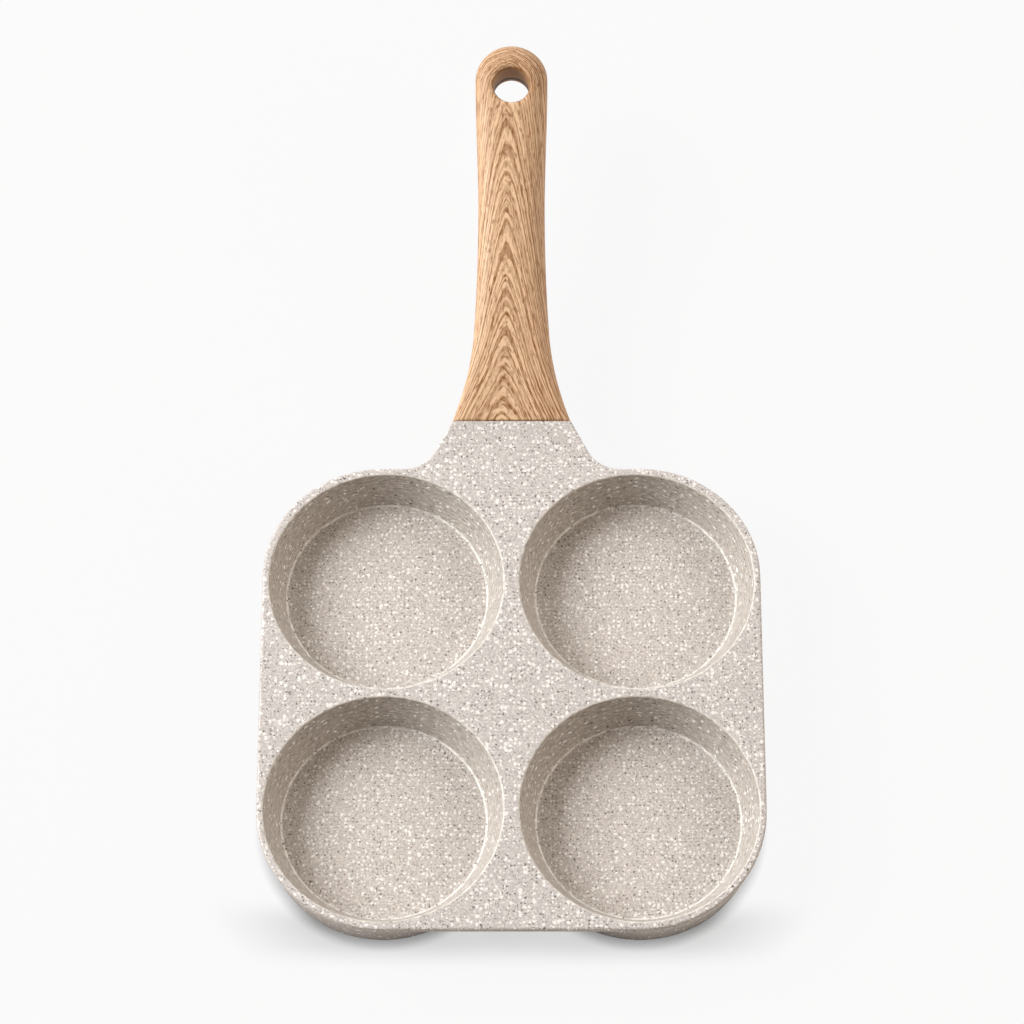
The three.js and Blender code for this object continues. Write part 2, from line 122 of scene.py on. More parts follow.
class CastingSizes(PropertyGroup):
    """Sizes of the plate, cups and neck"""

    cup_rim_radius: length("Cup rim radius", "Radius of a cup where its wall meets the plate", 44.4 * MM)
    cup_floor_radius: length("Cup floor radius", "Radius of a cup where its wall meets the floor", 38.2 * MM)
    cup_depth: length("Cup depth", "From the plate's top down to a cup's floor", 15 * MM)
    cup_base: length("Cup base", "Thickness of the casting under a cup's floor", 7 * MM)
    rim_round: length("Rim round", "Rounding of a cup's rim", 0.8 * MM)
    floor_fillet: length("Floor fillet", "Rounding between a cup's wall and floor", 1 * MM)
    wall_at_rim: length("Wall at rim", "Thickness of a cup's wall at the rim", 1.2 * MM)
    wall_at_floor: length("Wall at floor", "Thickness of a cup's wall at the floor", 5.6 * MM)
    base_round: length("Base round", "Rounding of a cup's foot", 0.8 * MM)
    plate_thickness: length("Plate thickness", "Thickness of the plate that joins the rims", 2.6 * MM)
    lip_front: length("Front lip", "Plate between the front cups' rims and its front edge", 3.1 * MM)
    lip_back: length("Back lip", "Plate between the back cups' rims and its back edge", 2.7 * MM)
    corner_front: length("Front corner", "Radius of the plate's front corners", 47.1 * MM)
    corner_back: length("Back corner", "Radius of the plate's back corners", 44.8 * MM)
    edge_round: length("Edge round", "Rounding of the plate's and neck's edges", 1.0 * MM)
    neck_length: length("Neck length", "From the plate's back edge to the joint", 19.3 * MM)
    neck_flare: length("Neck flare", "Widening of the neck on each side, from joint to plate", 10.3 * MM)
    neck_fillet: length("Neck fillet", "Rounding between neck and plate in plan", 12.4 * MM)
    neck_root: length("Neck root", "How far the neck's underside runs in below the plate", 14 * MM)
    neck_belly: length("Neck belly", "Height of the bend in the underside above the joint's lower edge", 5 * MM)
    recess_radius: length("Recess radius", "Radius of the recess for a steel disc", 34.3 * MM)
    recess_depth: length("Recess depth", "Depth of the recess for a steel disc", 1 * MM)
    peg_radius: length("Peg radius", "Radius of a casting peg in a disc's hole", 2.3 * MM)


class GripSizes(PropertyGroup):
    """Sizes of the grip and of its joint with the neck"""

    rise: angle("Rise", "Angle of the handle above level", 9)
    joint_width: length("Joint width", "Width of neck and grip at the joint", 46 * MM)
    joint_thickness: length("Joint thickness", "Thickness of neck and grip at the joint", 17.5 * MM)
    joint_gap: length("Joint gap", "Free space between neck and grip", 0.3 * MM)
    grip_length: length("Grip length", "From the joint to the round end", 157.3 * MM)
    waist_width: length("Waist width", "Width where the flare has died out", 26 * MM)
    end_width: length("End width", "Width of the round end", 28.4 * MM)
    end_thickness: length("End thickness", "Thickness at the round end", 16 * MM)
    flare_length: length("Flare length", "Length over which the grip widens to the joint", 88 * MM)
    foot_length: length("Foot length", "Length next to the joint over which the grip widens more", 38 * MM)
    foot_flare: length("Foot flare", "Widening of that length on each side", 5.1 * MM)
    joint_square: number("Joint squareness", "Exponent of the section at the joint", 12)
    grip_square: number("Grip squareness", "Exponent of the section along the grip", 2.8)
    hole_radius: length("Hang hole radius", "Radius of the hang hole's bore", 7.1 * MM)
    hole_from_end: length("Hang hole from end", "From the hang hole's middle to the round end", 18.3 * MM)
    hole_round: length("Hang hole round", "Rounding of the hang hole's edges", 1.8 * MM)
    skin_grain: length("Skin grain", "Size of the faces that the moulded skin is made of", 0.5 * MM)


class FixingSizes(PropertyGroup):
    """Sizes of the steel discs and of the grip's screw"""

    disc_radius: length("Disc radius", "Radius of a steel disc", 34 * MM)
    disc_thickness: length("Disc thickness", "Thickness of a steel disc", 0.6 * MM)
    disc_hole: length("Disc hole radius", "Radius of the holes in a disc", 2.6 * MM)
    inner_ring: length("Inner ring radius", "Radius of the inner ring of holes", 11.5 * MM)
    outer_ring: length("Outer ring radius", "Radius of the outer ring of holes", 23 * MM)
    inner_holes: IntProperty(name="Inner holes", description="Holes in the inner ring", default=6)
    outer_holes: IntProperty(name="Outer holes", description="Holes in the outer ring", default=12)
    screw_from_joint: length("Screw from joint", "From the joint to the screw's axis", 17 * MM)
    bore_radius: length("Screw bore radius", "Radius of the bore that sinks the screw's head", 5.3 * MM)
    bore_ceiling: length("Screw bore ceiling", "Depth of the bore's ceiling below the grip's top", 11 * MM)
    head_radius: length("Head radius", "Radius of the screw's head", 4.5 * MM)
    head_height: length("Head height", "Height of the screw's head", 2.6 * MM)
    head_top: length("Head top", "Depth of the head's seat below the grip's top", 14 * MM)
    shank_radius: length("Shank radius", "Radius of the screw's shank", 2.5 * MM)
    shank_end: length("Shank end", "Depth of the shank's tip below the grip's top", 4 * MM)


class FinishColours(PropertyGroup):
    """Colours of the coat, the film and the metals"""

    plate_coat: colour("Plate coat", "Ground of the coat on the plate and neck", "#d3cdc9")
    floor_coat: colour("Floor coat", "Ground of the coat on the cup floors", "#d3cbc4")
    # Painted highlight: a lighter ground on the cup rims stands in for the light that their rounding catches
    rim_highlight_coat: colour("Rim coat", "Thin light coat round the cup rims", "#e4ded6")
    # Painted highlight: a lighter ground in the rounding at the foot of a cup's wall stands in for the light line
    # it catches
    crease_highlight_coat: colour("Crease coat", "Coating in the rounding at the foot of a cup's wall", "#e8e4de")
    # The cup walls' streaked coat is real; its ground is darker than the plate's partly as painted shade
    wall_coat_and_shade: colour("Wall coat", "Ground of the coat on the cup walls", "#bcb4ac")
    # The outside's ground is darker than the plate's partly as painted shade on the front edge and the cups' outer
    # walls
    outer_coat_and_shade: colour("Outer coat", "Ground of the coat on the outside and underside", "#c0b6ac")
    chip: colour("Light chip", "Light chips in the coat", "#fefbf7")
    dot: colour("Dark dot", "Dark dots in the coat", "#54473e")
    grain_light: colour("Light grain", "Early wood of the film", "#efcaa4")
    grain_dark: colour("Dark grain", "Late wood of the film", "#8b5727")
    pore: colour("Pore", "Pores drawn on the film", "#8a5a37")
    moulding: colour("Moulding", "Bare moulding inside the hang hole", "#a2743f")
    # Painted shade: the dark line and lower edge in the hang hole, where no groove is modelled
    groove: colour("Groove", "Shaded groove near the lower edge of the hang hole", "#3c2814")
    disc_steel: colour("Disc steel", "Brushed stainless steel", "#c4c4c3")
    zinc: colour("Zinc", "Zinc plate on the screw and washers", "#c9cbcb")
    floor: colour("Floor", "Studio floor", "#fafafa")
    lamp_light: colour("Lamp light", "Light of the main and back lamps", "#ffffff")
    side_light: colour("Side light", "Warmer light of the side lamp", "#fff6ed")
    sky_light: colour("Sky light", "Even light that fills the shade", "#ffd6a2")


class StageSettings(PropertyGroup):
    """Camera and lamps"""

    elevation: angle("Elevation", "Camera's angle above the floor", 64.69)
    distance: length("Distance", "From the camera to the point that it looks at", 1591.8 * MM)
    look_x: place("Look across", "Point across the pan that the camera looks at", 0.2 * MM)
    look_y: place("Look along", "Point along the pan that the camera looks at", -13.42 * MM)
    look_z: place("Look height", "Height that the camera looks at", 22 * MM)
    focal: number("Focal length", "Lens in millimetres", 147.2, subtype="DISTANCE_CAMERA")
    lamp_distance: length("Lamp distance", "From each lamp to the middle of the pan", 2400 * MM)
    key_azimuth: angle("Key azimuth", "Turn of the main lamp from the right-hand side", 166)
    key_elevation: angle("Key elevation", "Angle of the main lamp above the floor", 33)
    key_width: length("Key width", "Width of the main lamp", 1800 * MM)
    key_power: number("Key power", "Power of the main lamp", 77.6, unit="POWER")
    side_azimuth: angle("Side azimuth", "Turn of the side lamp from the right-hand side", 0)
    side_elevation: angle("Side elevation", "Angle of the side lamp above the floor", 30)
    side_width: length("Side width", "Width of the side lamp", 1950 * MM)
    side_power: number("Side power", "Power of the side lamp", 25, unit="POWER")
    back_azimuth: angle("Back azimuth", "Turn of the back lamp from the right-hand side", 75)
    back_elevation: angle("Back elevation", "Angle of the back lamp above the floor", 30)
    back_width: length("Back width", "Width of the back lamp", 1950 * MM)
    back_power: number("Back power", "Power of the back lamp", 17.6, unit="POWER")
    lamp_height: length("Lamp height", "Height of each lamp's face", 1200 * MM)
    sky: number("Sky", "Strength of the even light all round", 0.075)
    shadow_reach: length("Shadow reach", "How far from the pan its soft shadow reaches", 30 * MM)
    contact_reach: length("Contact reach", "How far from the pan its dark contact shadow reaches", 5 * MM)
    shadow_back: place("Shadow back", "Place along the floor behind which no soft shadow shows", -160 * MM)
    shadow_start: place("Shadow start", "Place along the floor where the soft shadow starts to be full", -173 * MM)
    shadow_end: place("Shadow end", "Place along the floor where the soft shadow starts to fade", -178 * MM)
    shadow_front: place("Shadow front", "Place along the floor where the soft shadow has died out", -190 * MM)
    cast_share: number("Cast share", "Share of the cast shadow that shows", 0.04)


def only(piece):
    """Leaves one object selected and active."""
    bpy.ops.object.select_all(action="DESELECT")
    piece.select_set(True)
    bpy.context.view_layer.objects.active = piece


def start(name, size=2):
    """Adds a plane at the origin as the start of a piece and opens it in edit mode."""
    if bpy.context.mode != "OBJECT":
        bpy.ops.object.mode_set(mode="OBJECT")
    bpy.ops.object.select_all(action="DESELECT")
    bpy.ops.mesh.primitive_plane_add(size=size)
    piece = bpy.context.active_object
    piece.name = name
    piece.data.name = name
    bpy.ops.object.mode_set(mode="EDIT")
    bpy.ops.mesh.select_mode(type="VERT")
    bpy.ops.mesh.select_all(action="SELECT")
    return piece


def pick(kind, test):
    """Selects, in edit mode, the vertices, edges or faces that pass a test, and counts them."""
    bpy.ops.mesh.select_mode(type=kind)
    bpy.ops.mesh.select_all(action="DESELECT")
    mesh = bpy.context.edit_object.data
    form = bmesh.from_edit_mesh(mesh)
    parts = {"VERT": form.verts, "EDGE": form.edges, "FACE": form.faces}[kind]
    chosen = [part for part in parts if test(part)]
    for part in chosen:
        part.select_set(True)
    form.select_flush_mode()
    bmesh.update_edit_mesh(mesh)
    return len(chosen)


def both(test):
    """Makes a test on a point into one on both ends of an edge."""
    return lambda edge: all(test(vertex.co) for vertex in edge.verts)


def close_up():
    """Merges doubled points and turns the faces outward, then leaves edit mode."""
    bpy.ops.mesh.select_all(action="SELECT")
    bpy.ops.mesh.remove_doubles(threshold=HAIR / 10)
    bpy.ops.mesh.normals_make_consistent(inside=False)
    bpy.ops.object.mode_set(mode="OBJECT")


def arc(x, z, radius, start_angle, end_angle, steps):
    """Points of an arc in a profile of radius and height."""
    turn = (end_angle - start_angle) / steps
    angles = [start_angle + turn * i for i in range(steps + 1)]
    return [(x + radius * math.cos(a), z + radius * math.sin(a)) for a in angles]


def turned(name, profile, place=(0, 0, 0), steps=128):
    """A closed solid turned about an upright axis from points of radius and height."""
    piece = start(name)
    bpy.ops.mesh.merge(type="CENTER")
    bpy.ops.transform.translate(value=(profile[0][0], 0, profile[0][1]))
    for (r0, z0), (r1, z1) in zip(profile, profile[1:]):
        bpy.ops.mesh.extrude_vertices_move(TRANSFORM_OT_translate={"value": (r1 - r0, 0, z1 - z0)})
    bpy.ops.mesh.select_all(action="SELECT")
    bpy.ops.mesh.spin(steps=steps, angle=math.tau, center=(0, 0, 0), axis=(0, 0, 1))
    bpy.ops.mesh.select_all(action="SELECT")
    bpy.ops.transform.translate(value=place)
    close_up()
    return piece


def finish_with(piece, kind, **settings):
    """Adds a modifier to a piece and applies it."""
    only(piece)
    modifier = piece.modifiers.new(kind.title(), kind)
    for key, value in settings.items():
        setattr(modifier, key, value)
    bpy.ops.object.modifier_apply(modifier=modifier.name)


def combine(piece, tool, operation):
    """Joins a tool to a piece or cuts it away, removes the tool, and makes sure that the piece is still closed."""
    finish_with(piece, "BOOLEAN", operation=operation, solver="EXACT", object=tool)
    sides = Counter(key for face in piece.data.polygons for key in face.edge_keys)
    if any(count != 2 for count in sides.values()):
        raise RuntimeError(f"{piece.name} is open after {operation} with {tool.name}")
    bpy.data.objects.remove(tool)


def copy_to(piece, name, place):
    """A copy of a piece with a mesh of its own, moved by a vector that is kept in the mesh."""
    only(piece)
    bpy.ops.object.duplicate(linked=False)
    twin = bpy.context.active_object
    twin.name = name
    twin.data.name = name
    twin.location = place
    bpy.ops.object.transform_apply(location=True, rotation=True, scale=True)
    return twin


def copies(piece, places):
    """One object of copies of a piece at several places; the piece itself is removed."""
    twins = [copy_to(piece, piece.name, place) for place in places]
    bpy.data.objects.remove(piece)
    for twin in twins:
        twin.select_set(True)
    bpy.ops.object.join()
    return bpy.context.active_object


def joint_place(sizes, grip):
    """The middle of the joint's upper edge, where the grip's own frame starts."""
    back = CUP_PLACES[2].y + sizes.cup_rim_radius + sizes.lip_back
    rise = sizes.neck_length * math.tan(grip.rise / 2)
    return Vector((0, back + sizes.neck_length, sizes.cup_depth + sizes.cup_base + rise))


def onto_handle(piece, scene):
    """Moves a piece from the grip's own level frame to its place on the risen handle."""
    only(piece)
    piece.rotation_euler = (scene.pan_grip_sizes.rise, 0, 0)
    piece.location = joint_place(scene.pan_casting_sizes, scene.pan_grip_sizes)
    bpy.ops.object.transform_apply(location=True, rotation=True, scale=True)


def hole_places(fixings):
    """Middles of the holes in a disc, round its own middle."""
    rings = ((fixings.inner_holes, fixings.inner_ring), (fixings.outer_holes, fixings.outer_ring))
    return [
        (radius * math.cos(math.tau * i / count), radius * math.sin(math.tau * i / count), 0)
        for count, radius in rings
        for i in range(count)
    ]


def add(tree, kind, settings=None, inputs=None):
    """Adds a shader node, sets it up, and links or fills its inputs; a setting in one word is its operation."""
    node = tree.nodes.new("ShaderNode" + kind)
    settings = {"operation": settings} if isinstance(settings, str) else settings or {}
    for key, value in settings.items():
        setattr(node, key, value)
    for key, value in (inputs or {}).items():
        if isinstance(key, str):
            socket = next(s for s in node.inputs if s.name == key and s.enabled)
        else:
            socket = node.inputs[key]
        if isinstance(value, bpy.types.Node):
            value = next(s for s in value.outputs if s.enabled)
        if isinstance(value, bpy.types.NodeSocket):
            tree.links.new(value, socket)
        elif socket.type == "RGBA":
            socket.default_value = (*value, 1)
        else:
            socket.default_value = value
    return node


def limits(low, high, low_result, high_result):
    """Inputs of a node that turns one range of values into another."""
    return {"From Min": low, "From Max": high, "To Min": low_result, "To Max": high_result}


def new_material(name):
    """A material without nodes, and the function that adds nodes to it."""
    material = bpy.data.materials.new(name)
    material.use_nodes = True
    material.node_tree.nodes.clear()
    return material, partial(add, material.node_tree)


def in_millimetres(node, location=(0, 0, 0), rotation=(0, 0, 0)):
    """Object coordinates in millimetres, from a place and turn of the pattern's own."""
    place = node("TexCoord").outputs["Object"]
    settings = {"vector_type": "TEXTURE"}
    inputs = {"Vector": place, "Location": location, "Rotation": rotation, "Scale": (MM, MM, MM)}
    return node("Mapping", settings, inputs)


def round_each_cup(node):
    """A place from the middle of all cups, in millimetres, with its turn, its cup and its distance in that cup."""
    middle_x = CUP_PLACES[1].x / MM
    middle_y = (CUP_PLACES[2].y - CUP_PLACES[0].y) / 2 / MM
    apart = node("SeparateXYZ", None, {0: in_millimetres(node, CUP_MIDDLE)})
    side = node("Math", "SIGN", {0: apart.outputs[0]})
    row = node("Math", "SIGN", {0: apart.outputs[1]})
    x = node("Math", "MULTIPLY_ADD", {0: side, 1: -middle_x, 2: apart.outputs[0]})
    y = node("Math", "MULTIPLY_ADD", {0: row, 1: -middle_y, 2: apart.outputs[1]})
    angle = node("Math", "ARCTAN2", {0: y, 1: x})
    cup = node("Math", "MULTIPLY_ADD", {0: row, 1: 2.0, 2: side})
    from_middle = node("CombineXYZ", None, {0: x, 1: y})
    across = node("VectorMath", "LENGTH", {0: from_middle})
    return apart, angle, cup, across.outputs["Value"]


def specks(node, place, flat, spacing, share, small, large):
    """A mask of specks: their spacing and radii in millimetres, and the share of places that hold one."""
    soft = SPECK_EDGE / spacing
    kind = {"voronoi_dimensions": "2D" if flat else "3D", "feature": "F1"}
    cells = node("TexVoronoi", kind, {"Vector": place, "Scale": 1 / spacing, "Randomness": 0.9})
    chance = node("SeparateColor", None, {0: cells.outputs["Color"]})
    shown = node("Math", "LESS_THAN", {0: chance.outputs[1], 1: share})
    skewed = node("Math", "POWER", {0: chance.outputs[0], 1: 2.0})
    sizes = limits(0.0, 1.0, small / spacing, large / spacing)
    radius = node("MapRange", None, {"Value": skewed, **sizes})
    edge = node("Math", "SUBTRACT", {0: radius, 1: cells.outputs["Distance"]})
    fade = limits(-soft, soft, 0.0, 1.0)
    inside = node("MapRange", {"interpolation_type": "SMOOTHSTEP"}, {"Value": edge, **fade})
    return node("Math", "MULTIPLY", {0: inside, 1: shown})


def granite_coat(name, ground, colours, chips, fines, dots, lie="flat"):
    """Sprayed granite-effect non-stick coat: a matt mottled ground with light chips, fine grit and dark dots."""
    material, node = new_material(name)
    wall_radius, stretch, next_cup = 41, 1.7, 200.0
    ragged_size, ragged_reach, mottle_size = 0.7, (1.8, 1.8, 1.8), 0.75
    if lie == "wall":
        # The spray hits a cup's wall at a slant, so its specks are drawn out along the wall
        apart, angle, cup, _ = round_each_cup(node)
        run = node("Math", "MULTIPLY", {0: angle, 1: wall_radius / stretch})
        along = node("Math", "MULTIPLY_ADD", {0: cup, 1: next_cup, 2: run})
        place = node("CombineXYZ", None, {0: along, 1: apart.outputs[2]})
    else:
        place = in_millimetres(node)
    wobble = node("TexNoise", None, {"Vector": place, "Scale": 1 / ragged_size, "Detail": 2.0})
    centred = node("VectorMath", "SUBTRACT", {0: wobble.outputs["Color"], 1: (0.5, 0.5, 0.5)})
    ragged = node("VectorMath", "MULTIPLY_ADD", {0: centred, 1: ragged_reach, 2: place})
    drawn_out, swing = (0.45, 0.42) if lie == "wall" else (1.0, 0.3)
    brushed = node("Mapping", None, {"Vector": place, "Scale": (drawn_out, 1, 1)})
    mottled = {"Vector": brushed, "Scale": 1 / mottle_size, "Detail": 3.0, "Roughness": 0.7}
    mottle = node("TexNoise", None, mottled)
    shade = limits(0.3, 0.7, 1 - swing, 1 + swing)
    depth = node("MapRange", None, {"Value": mottle.outputs["Fac"], **shade})
    flat = lie != "round"
    if not flat:
        # Painted shade: the outside's ground darkens toward the base
        apart = node("SeparateXYZ", None, {0: place})
        base_shade_fade = limits(0.0, 16.0, 0.6, 1.0)
        base_shade = node("MapRange", None, {"Value": apart.outputs[2], **base_shade_fade})
        depth = node("Math", "MULTIPLY", {0: depth, 1: base_shade})
    coat = node("VectorMath", "SCALE", {0: tuple(ground), "Scale": depth})
    for mask, tint, strength in (
        (specks(node, ragged, flat, *fines), colours.chip, 0.8),
        (specks(node, ragged, flat, *dots), colours.dot, 0.9),
        (specks(node, ragged, flat, *chips), colours.chip, 1.0),
    ):
        share = node("Math", "MULTIPLY", {0: mask, 1: strength})
        coat = node("Mix", {"data_type": "RGBA"}, {"Factor": share, "A": coat, "B": tint})
    bump = node("Bump", None, {"Strength": 0.25, "Distance": 0.05 * MM, "Height": mottle.outputs["Fac"]})
    gloss = limits(0.3, 0.7, 0.38, 0.5)
    rough = node("MapRange", None, {"Value": mottle.outputs["Fac"], **gloss})
    look = {"Base Color": coat, "Roughness": rough, "Normal": bump, "IOR": 1.4}
    shader = node("BsdfPrincipled", None, look)
    node("OutputMaterial", None, {"Surface": shader})
    return material


def wood_film(scene):
    """Wood-effect film on a phenolic moulding: tan oak with arched rings and fine pores under a satin skin, with
    painted shade on its sides, over its right side and in and round the hang hole.
    """
    material, node = new_material("wood_effect_film")
    grip, colours = scene.pan_grip_sizes, scene.pan_finish_colours
    place = in_millimetres(node, joint_place(scene.pan_casting_sizes, grip), (grip.rise, 0, 0))

    # Sizes of the grain in millimetres, then the shape of its arches
    wander_size, wander_reach, off_middle, side_slant = (7, 36, 7), (1.2, 6.0, 0.0), 2.0, -0.5
    ring_size, fibre_size, pore_size = 0.45, (0.24, 9, 0.8), (0.4, 4, 3)
    arch_power, arch_step, arch_start = 1.6, 0.93, 47.0

    warp = node("Mapping", None, {"Vector": place, "Scale": [1 / size for size in wander_size]})
    wander = node("TexNoise", None, {"Vector": warp, "Scale": 1.0, "Detail": 2.0})
    centred = node("VectorMath", "SUBTRACT", {0: wander.outputs["Color"], 1: (0.5, 0.5, 0.5)})
    bent = node("VectorMath", "MULTIPLY_ADD", {0: centred, 1: wander_reach, 2: place})
    apart = node("SeparateXYZ", None, {0: bent})
    x, along, z = apart.outputs

    # The grain spreads with the flare, and its arches point to the end along a line left of the middle
    half_waist = grip.waist_width / 2
    long_flare = grip.joint_width / 2 - half_waist - grip.foot_flare
    spread = 1.0
    for run, wider in ((grip.flare_length, long_flare), (grip.foot_length, grip.foot_flare)):
        near = {0: along, 1: -MM / run, 2: 1.0}
        near = node("Math", {"operation": "MULTIPLY_ADD", "use_clamp": True}, near)
        open_out = node("Math", "MULTIPLY", {0: near, 1: near})
        spread = node("Math", "MULTIPLY_ADD", {0: open_out, 1: wider / half_waist, 2: spread})
    narrow = node("Math", "DIVIDE", {0: x, 1: spread})
    aside = node("Math", "ADD", {0: narrow, 1: off_middle})

    # Past the hang hole the lines turn round its middle, and down the sides they run on with the depth
    hole = (grip.grip_length - grip.hole_from_end) / MM
    past = node("Math", "SUBTRACT", {0: along, 1: hole})
    past = node("Math", "MAXIMUM", {0: past, 1: 0.0})
    round_end = node("CombineXYZ", None, {0: aside, 1: past})
    reach = node("VectorMath", "LENGTH", {0: round_end}).outputs["Value"]
    reach = node("Math", "MULTIPLY_ADD", {0: z, 1: side_slant, 2: reach})
    before = node("Math", "MINIMUM", {0: along, 1: hole})

    # Nested arches of one shape follow each other along the grip, and their lines lie evenly across it
    arch = node("Math", "POWER", {0: reach, 1: arch_power})
    arch = node("Math", "MULTIPLY_ADD", {0: before, 1: arch_step, 2: arch})
    arch = node("Math", "ADD", {0: arch, 1: arch_start})
    arch = node("Math", "POWER", {0: arch, 1: 1 / arch_power})
    ringed = {"W": arch, "Scale": 1 / ring_size, "Detail": 2.0, "Roughness": 0.7}
    rings = node("TexNoise", {"noise_dimensions": "1D"}, ringed)
    fibre_place = node("CombineXYZ", None, {0: arch, 1: along, 2: narrow})
    fibre_map = node("Mapping", None, {"Vector": fibre_place, "Scale": [1 / size for size in fibre_size]})
    fibres = node("TexNoise", None, {"Vector": fibre_map, "Scale": 1.0, "Detail": 2.0, "Roughness": 0.6})
    # The tone mixes grain from rings and fibres with a darkening toward the round end, painted shade down the
    # lower sides and painted shade over the right side
    grain_and_shade = 0.0
    for noise, low_end, high_end, share in (
        (rings.outputs["Fac"], 0.44, 0.62, 0.66),
        (fibres.outputs["Fac"], 0.5, 0.64, 0.45),
        (along, hole - 8, hole + 4, 0.15),
        (z, -3.8, -5.5, 0.2),
        (x, 3.0, 12.0, 0.12),
    ):
        dark = node("MapRange", None, {"Value": noise, **limits(low_end, high_end, 0.0, 1.0)})
        grain_and_shade = node("Math", "MULTIPLY_ADD", {0: dark, 1: share, 2: grain_and_shade})
    grain = {"Factor": grain_and_shade, "A": colours.grain_light, "B": colours.grain_dark}
    film = node("Mix", {"data_type": "RGBA"}, grain)
    pore_map = node("Mapping", None, {"Vector": fibre_place, "Scale": [1 / size for size in pore_size]})
    pores = node("TexNoise", None, {"Vector": pore_map, "Scale": 1.0, "Detail": 1.0})
    fade = limits(0.6, 0.7, 0.0, 0.7)
    pore = node("MapRange", None, {"Value": pores.outputs["Fac"], **fade})
    film = node("Mix", {"data_type": "RGBA"}, {"Factor": pore, "A": film, "B": colours.pore})

    # The film stops at the edge of the hang hole, where the moulding is bare
    level = node("SeparateXYZ", None, {0: place})
    from_hole = node("Math", "SUBTRACT", {0: level.outputs[1], 1: hole})
    to_axis = node("CombineXYZ", None, {0: level.outputs[0], 1: from_hole})
    away = node("VectorMath", "LENGTH", {0: to_axis}).outputs["Value"]
    bore_radius, groove_depth, film_edge = grip.hole_radius / MM, 11.7, 0.4
    rim = limits(bore_radius + 0.15, bore_radius + 0.45, 1.0, 0.0)
    bare = node("MapRange", None, {"Value": away, **rim})
    # Painted shade: a dark line at a set depth in the bore stands in for a seam groove that is not modelled, and
    # the bore darkens at its lower edge
    from_groove = node("Math", "ADD", {0: level.outputs[2], 1: groove_depth})
    from_groove = node("Math", "ABSOLUTE", {0: from_groove})
    cut = limits(0.8, 1.2, 1.0, 0.0)
    groove = node("MapRange", None, {"Value": from_groove, **cut})
    low_edge_shade = limits(-14.3, -14.8, 0.0, 1.0)
    edge = node("MapRange", None, {"Value": level.outputs[2], **low_edge_shade})
    groove = node("Math", "MAXIMUM", {0: groove, 1: edge})
    shaded_bore = {"Factor": groove, "A": colours.moulding, "B": colours.groove}
    bore = node("Mix", {"data_type": "RGBA"}, shaded_bore)
    # Painted shade: a dark ring along the film's edge round the hang hole
    from_edge = node("Math", "SUBTRACT", {0: away, 1: bore_radius + film_edge})
    from_edge = node("Math", "ABSOLUTE", {0: from_edge})
    film_edge_shade = limits(0.1, 0.35, 0.5, 0.0)
    outline = node("MapRange", None, {"Value": from_edge, **film_edge_shade})
    film = node("Mix", {"data_type": "RGBA"}, {"Factor": outline, "A": film, "B": colours.pore})
    look = node("Mix", {"data_type": "RGBA"}, {"Factor": bare, "A": film, "B": bore})
    bump = node("Bump", None, {"Strength": 0.2, "Distance": 0.05 * MM, "Height": grain_and_shade})
    satin = limits(0.0, 1.0, 0.48, 0.62)
    rough = node("MapRange", None, {"Value": grain_and_shade, **satin})
    look = {"Base Color": look, "Roughness": rough, "Normal": bump, "IOR": 1.4}
    shader = node("BsdfPrincipled", None, look)
    node("OutputMaterial", None, {"Surface": shader})
    return material


def brushed_steel(colours):
    """Stainless steel, brushed in rings: fine bright and dull rings under a soft sheen."""
    material, node = new_material("brushed_stainless_steel")
    across = round_each_cup(node)[3]
    brush_size = 0.35
    brushed = {"W": across, "Scale": 1 / brush_size, "Detail": 3.0, "Roughness": 0.7}
    lines = node("TexNoise", {"noise_dimensions": "1D"}, brushed)
    gloss = limits(0.25, 0.75, 0.22, 0.42)
    rough = node("MapRange", None, {"Value": lines.outputs["Fac"], **gloss})
    shade = limits(0.25, 0.75, 0.82, 1.05)
    depth = node("MapRange", None, {"Value": lines.outputs["Fac"], **shade})
    tint = node("VectorMath", "SCALE", {0: tuple(colours.disc_steel), "Scale": depth})
    bump = node("Bump", None, {"Strength": 0.15, "Distance": 0.02 * MM, "Height": lines.outputs["Fac"]})
    look = {"Base Color": tint, "Metallic": 1.0, "Roughness": rough, "Normal": bump}
    shader = node("BsdfPrincipled", None, look)
    node("OutputMaterial", None, {"Surface": shader})
    return material


def zinc_plate(colours):
    """Zinc-plated steel: pale grey metal with a faint cloudy bloom."""
    material, node = new_material("zinc_plated_steel")
    cloud_size = 1.5
    cloudy = {"Vector": in_millimetres(node), "Scale": 1 / cloud_size, "Detail": 3.0, "Roughness": 0.6}
    bloom = node("TexNoise", None, cloudy)
    gloss = limits(0.3, 0.7, 0.28, 0.5)
    rough = node("MapRange", None, {"Value": bloom.outputs["Fac"], **gloss})
    shade = limits(0.3, 0.7, 0.86, 1.04)
    depth = node("MapRange", None, {"Value": bloom.outputs["Fac"], **shade})
    tint = node("VectorMath", "SCALE", {0: tuple(colours.zinc), "Scale": depth})
    shader = node("BsdfPrincipled", None, {"Base Color": tint, "Metallic": 1.0, "Roughness": rough})
    node("OutputMaterial", None, {"Surface": shader})
    return material


def paint(piece, zones):
    """Gives a piece its materials: the first all over, each later one on the faces that pass its test."""
    only(piece)
    for material, _ in zones:
        piece.data.materials.append(material)
    bpy.ops.object.mode_set(mode="EDIT")
    for index, (_, test) in enumerate(zones):
        if test and pick("FACE", test):
            piece.active_material_index = index
            bpy.ops.object.material_slot_assign()
    bpy.ops.object.mode_set(mode="OBJECT")


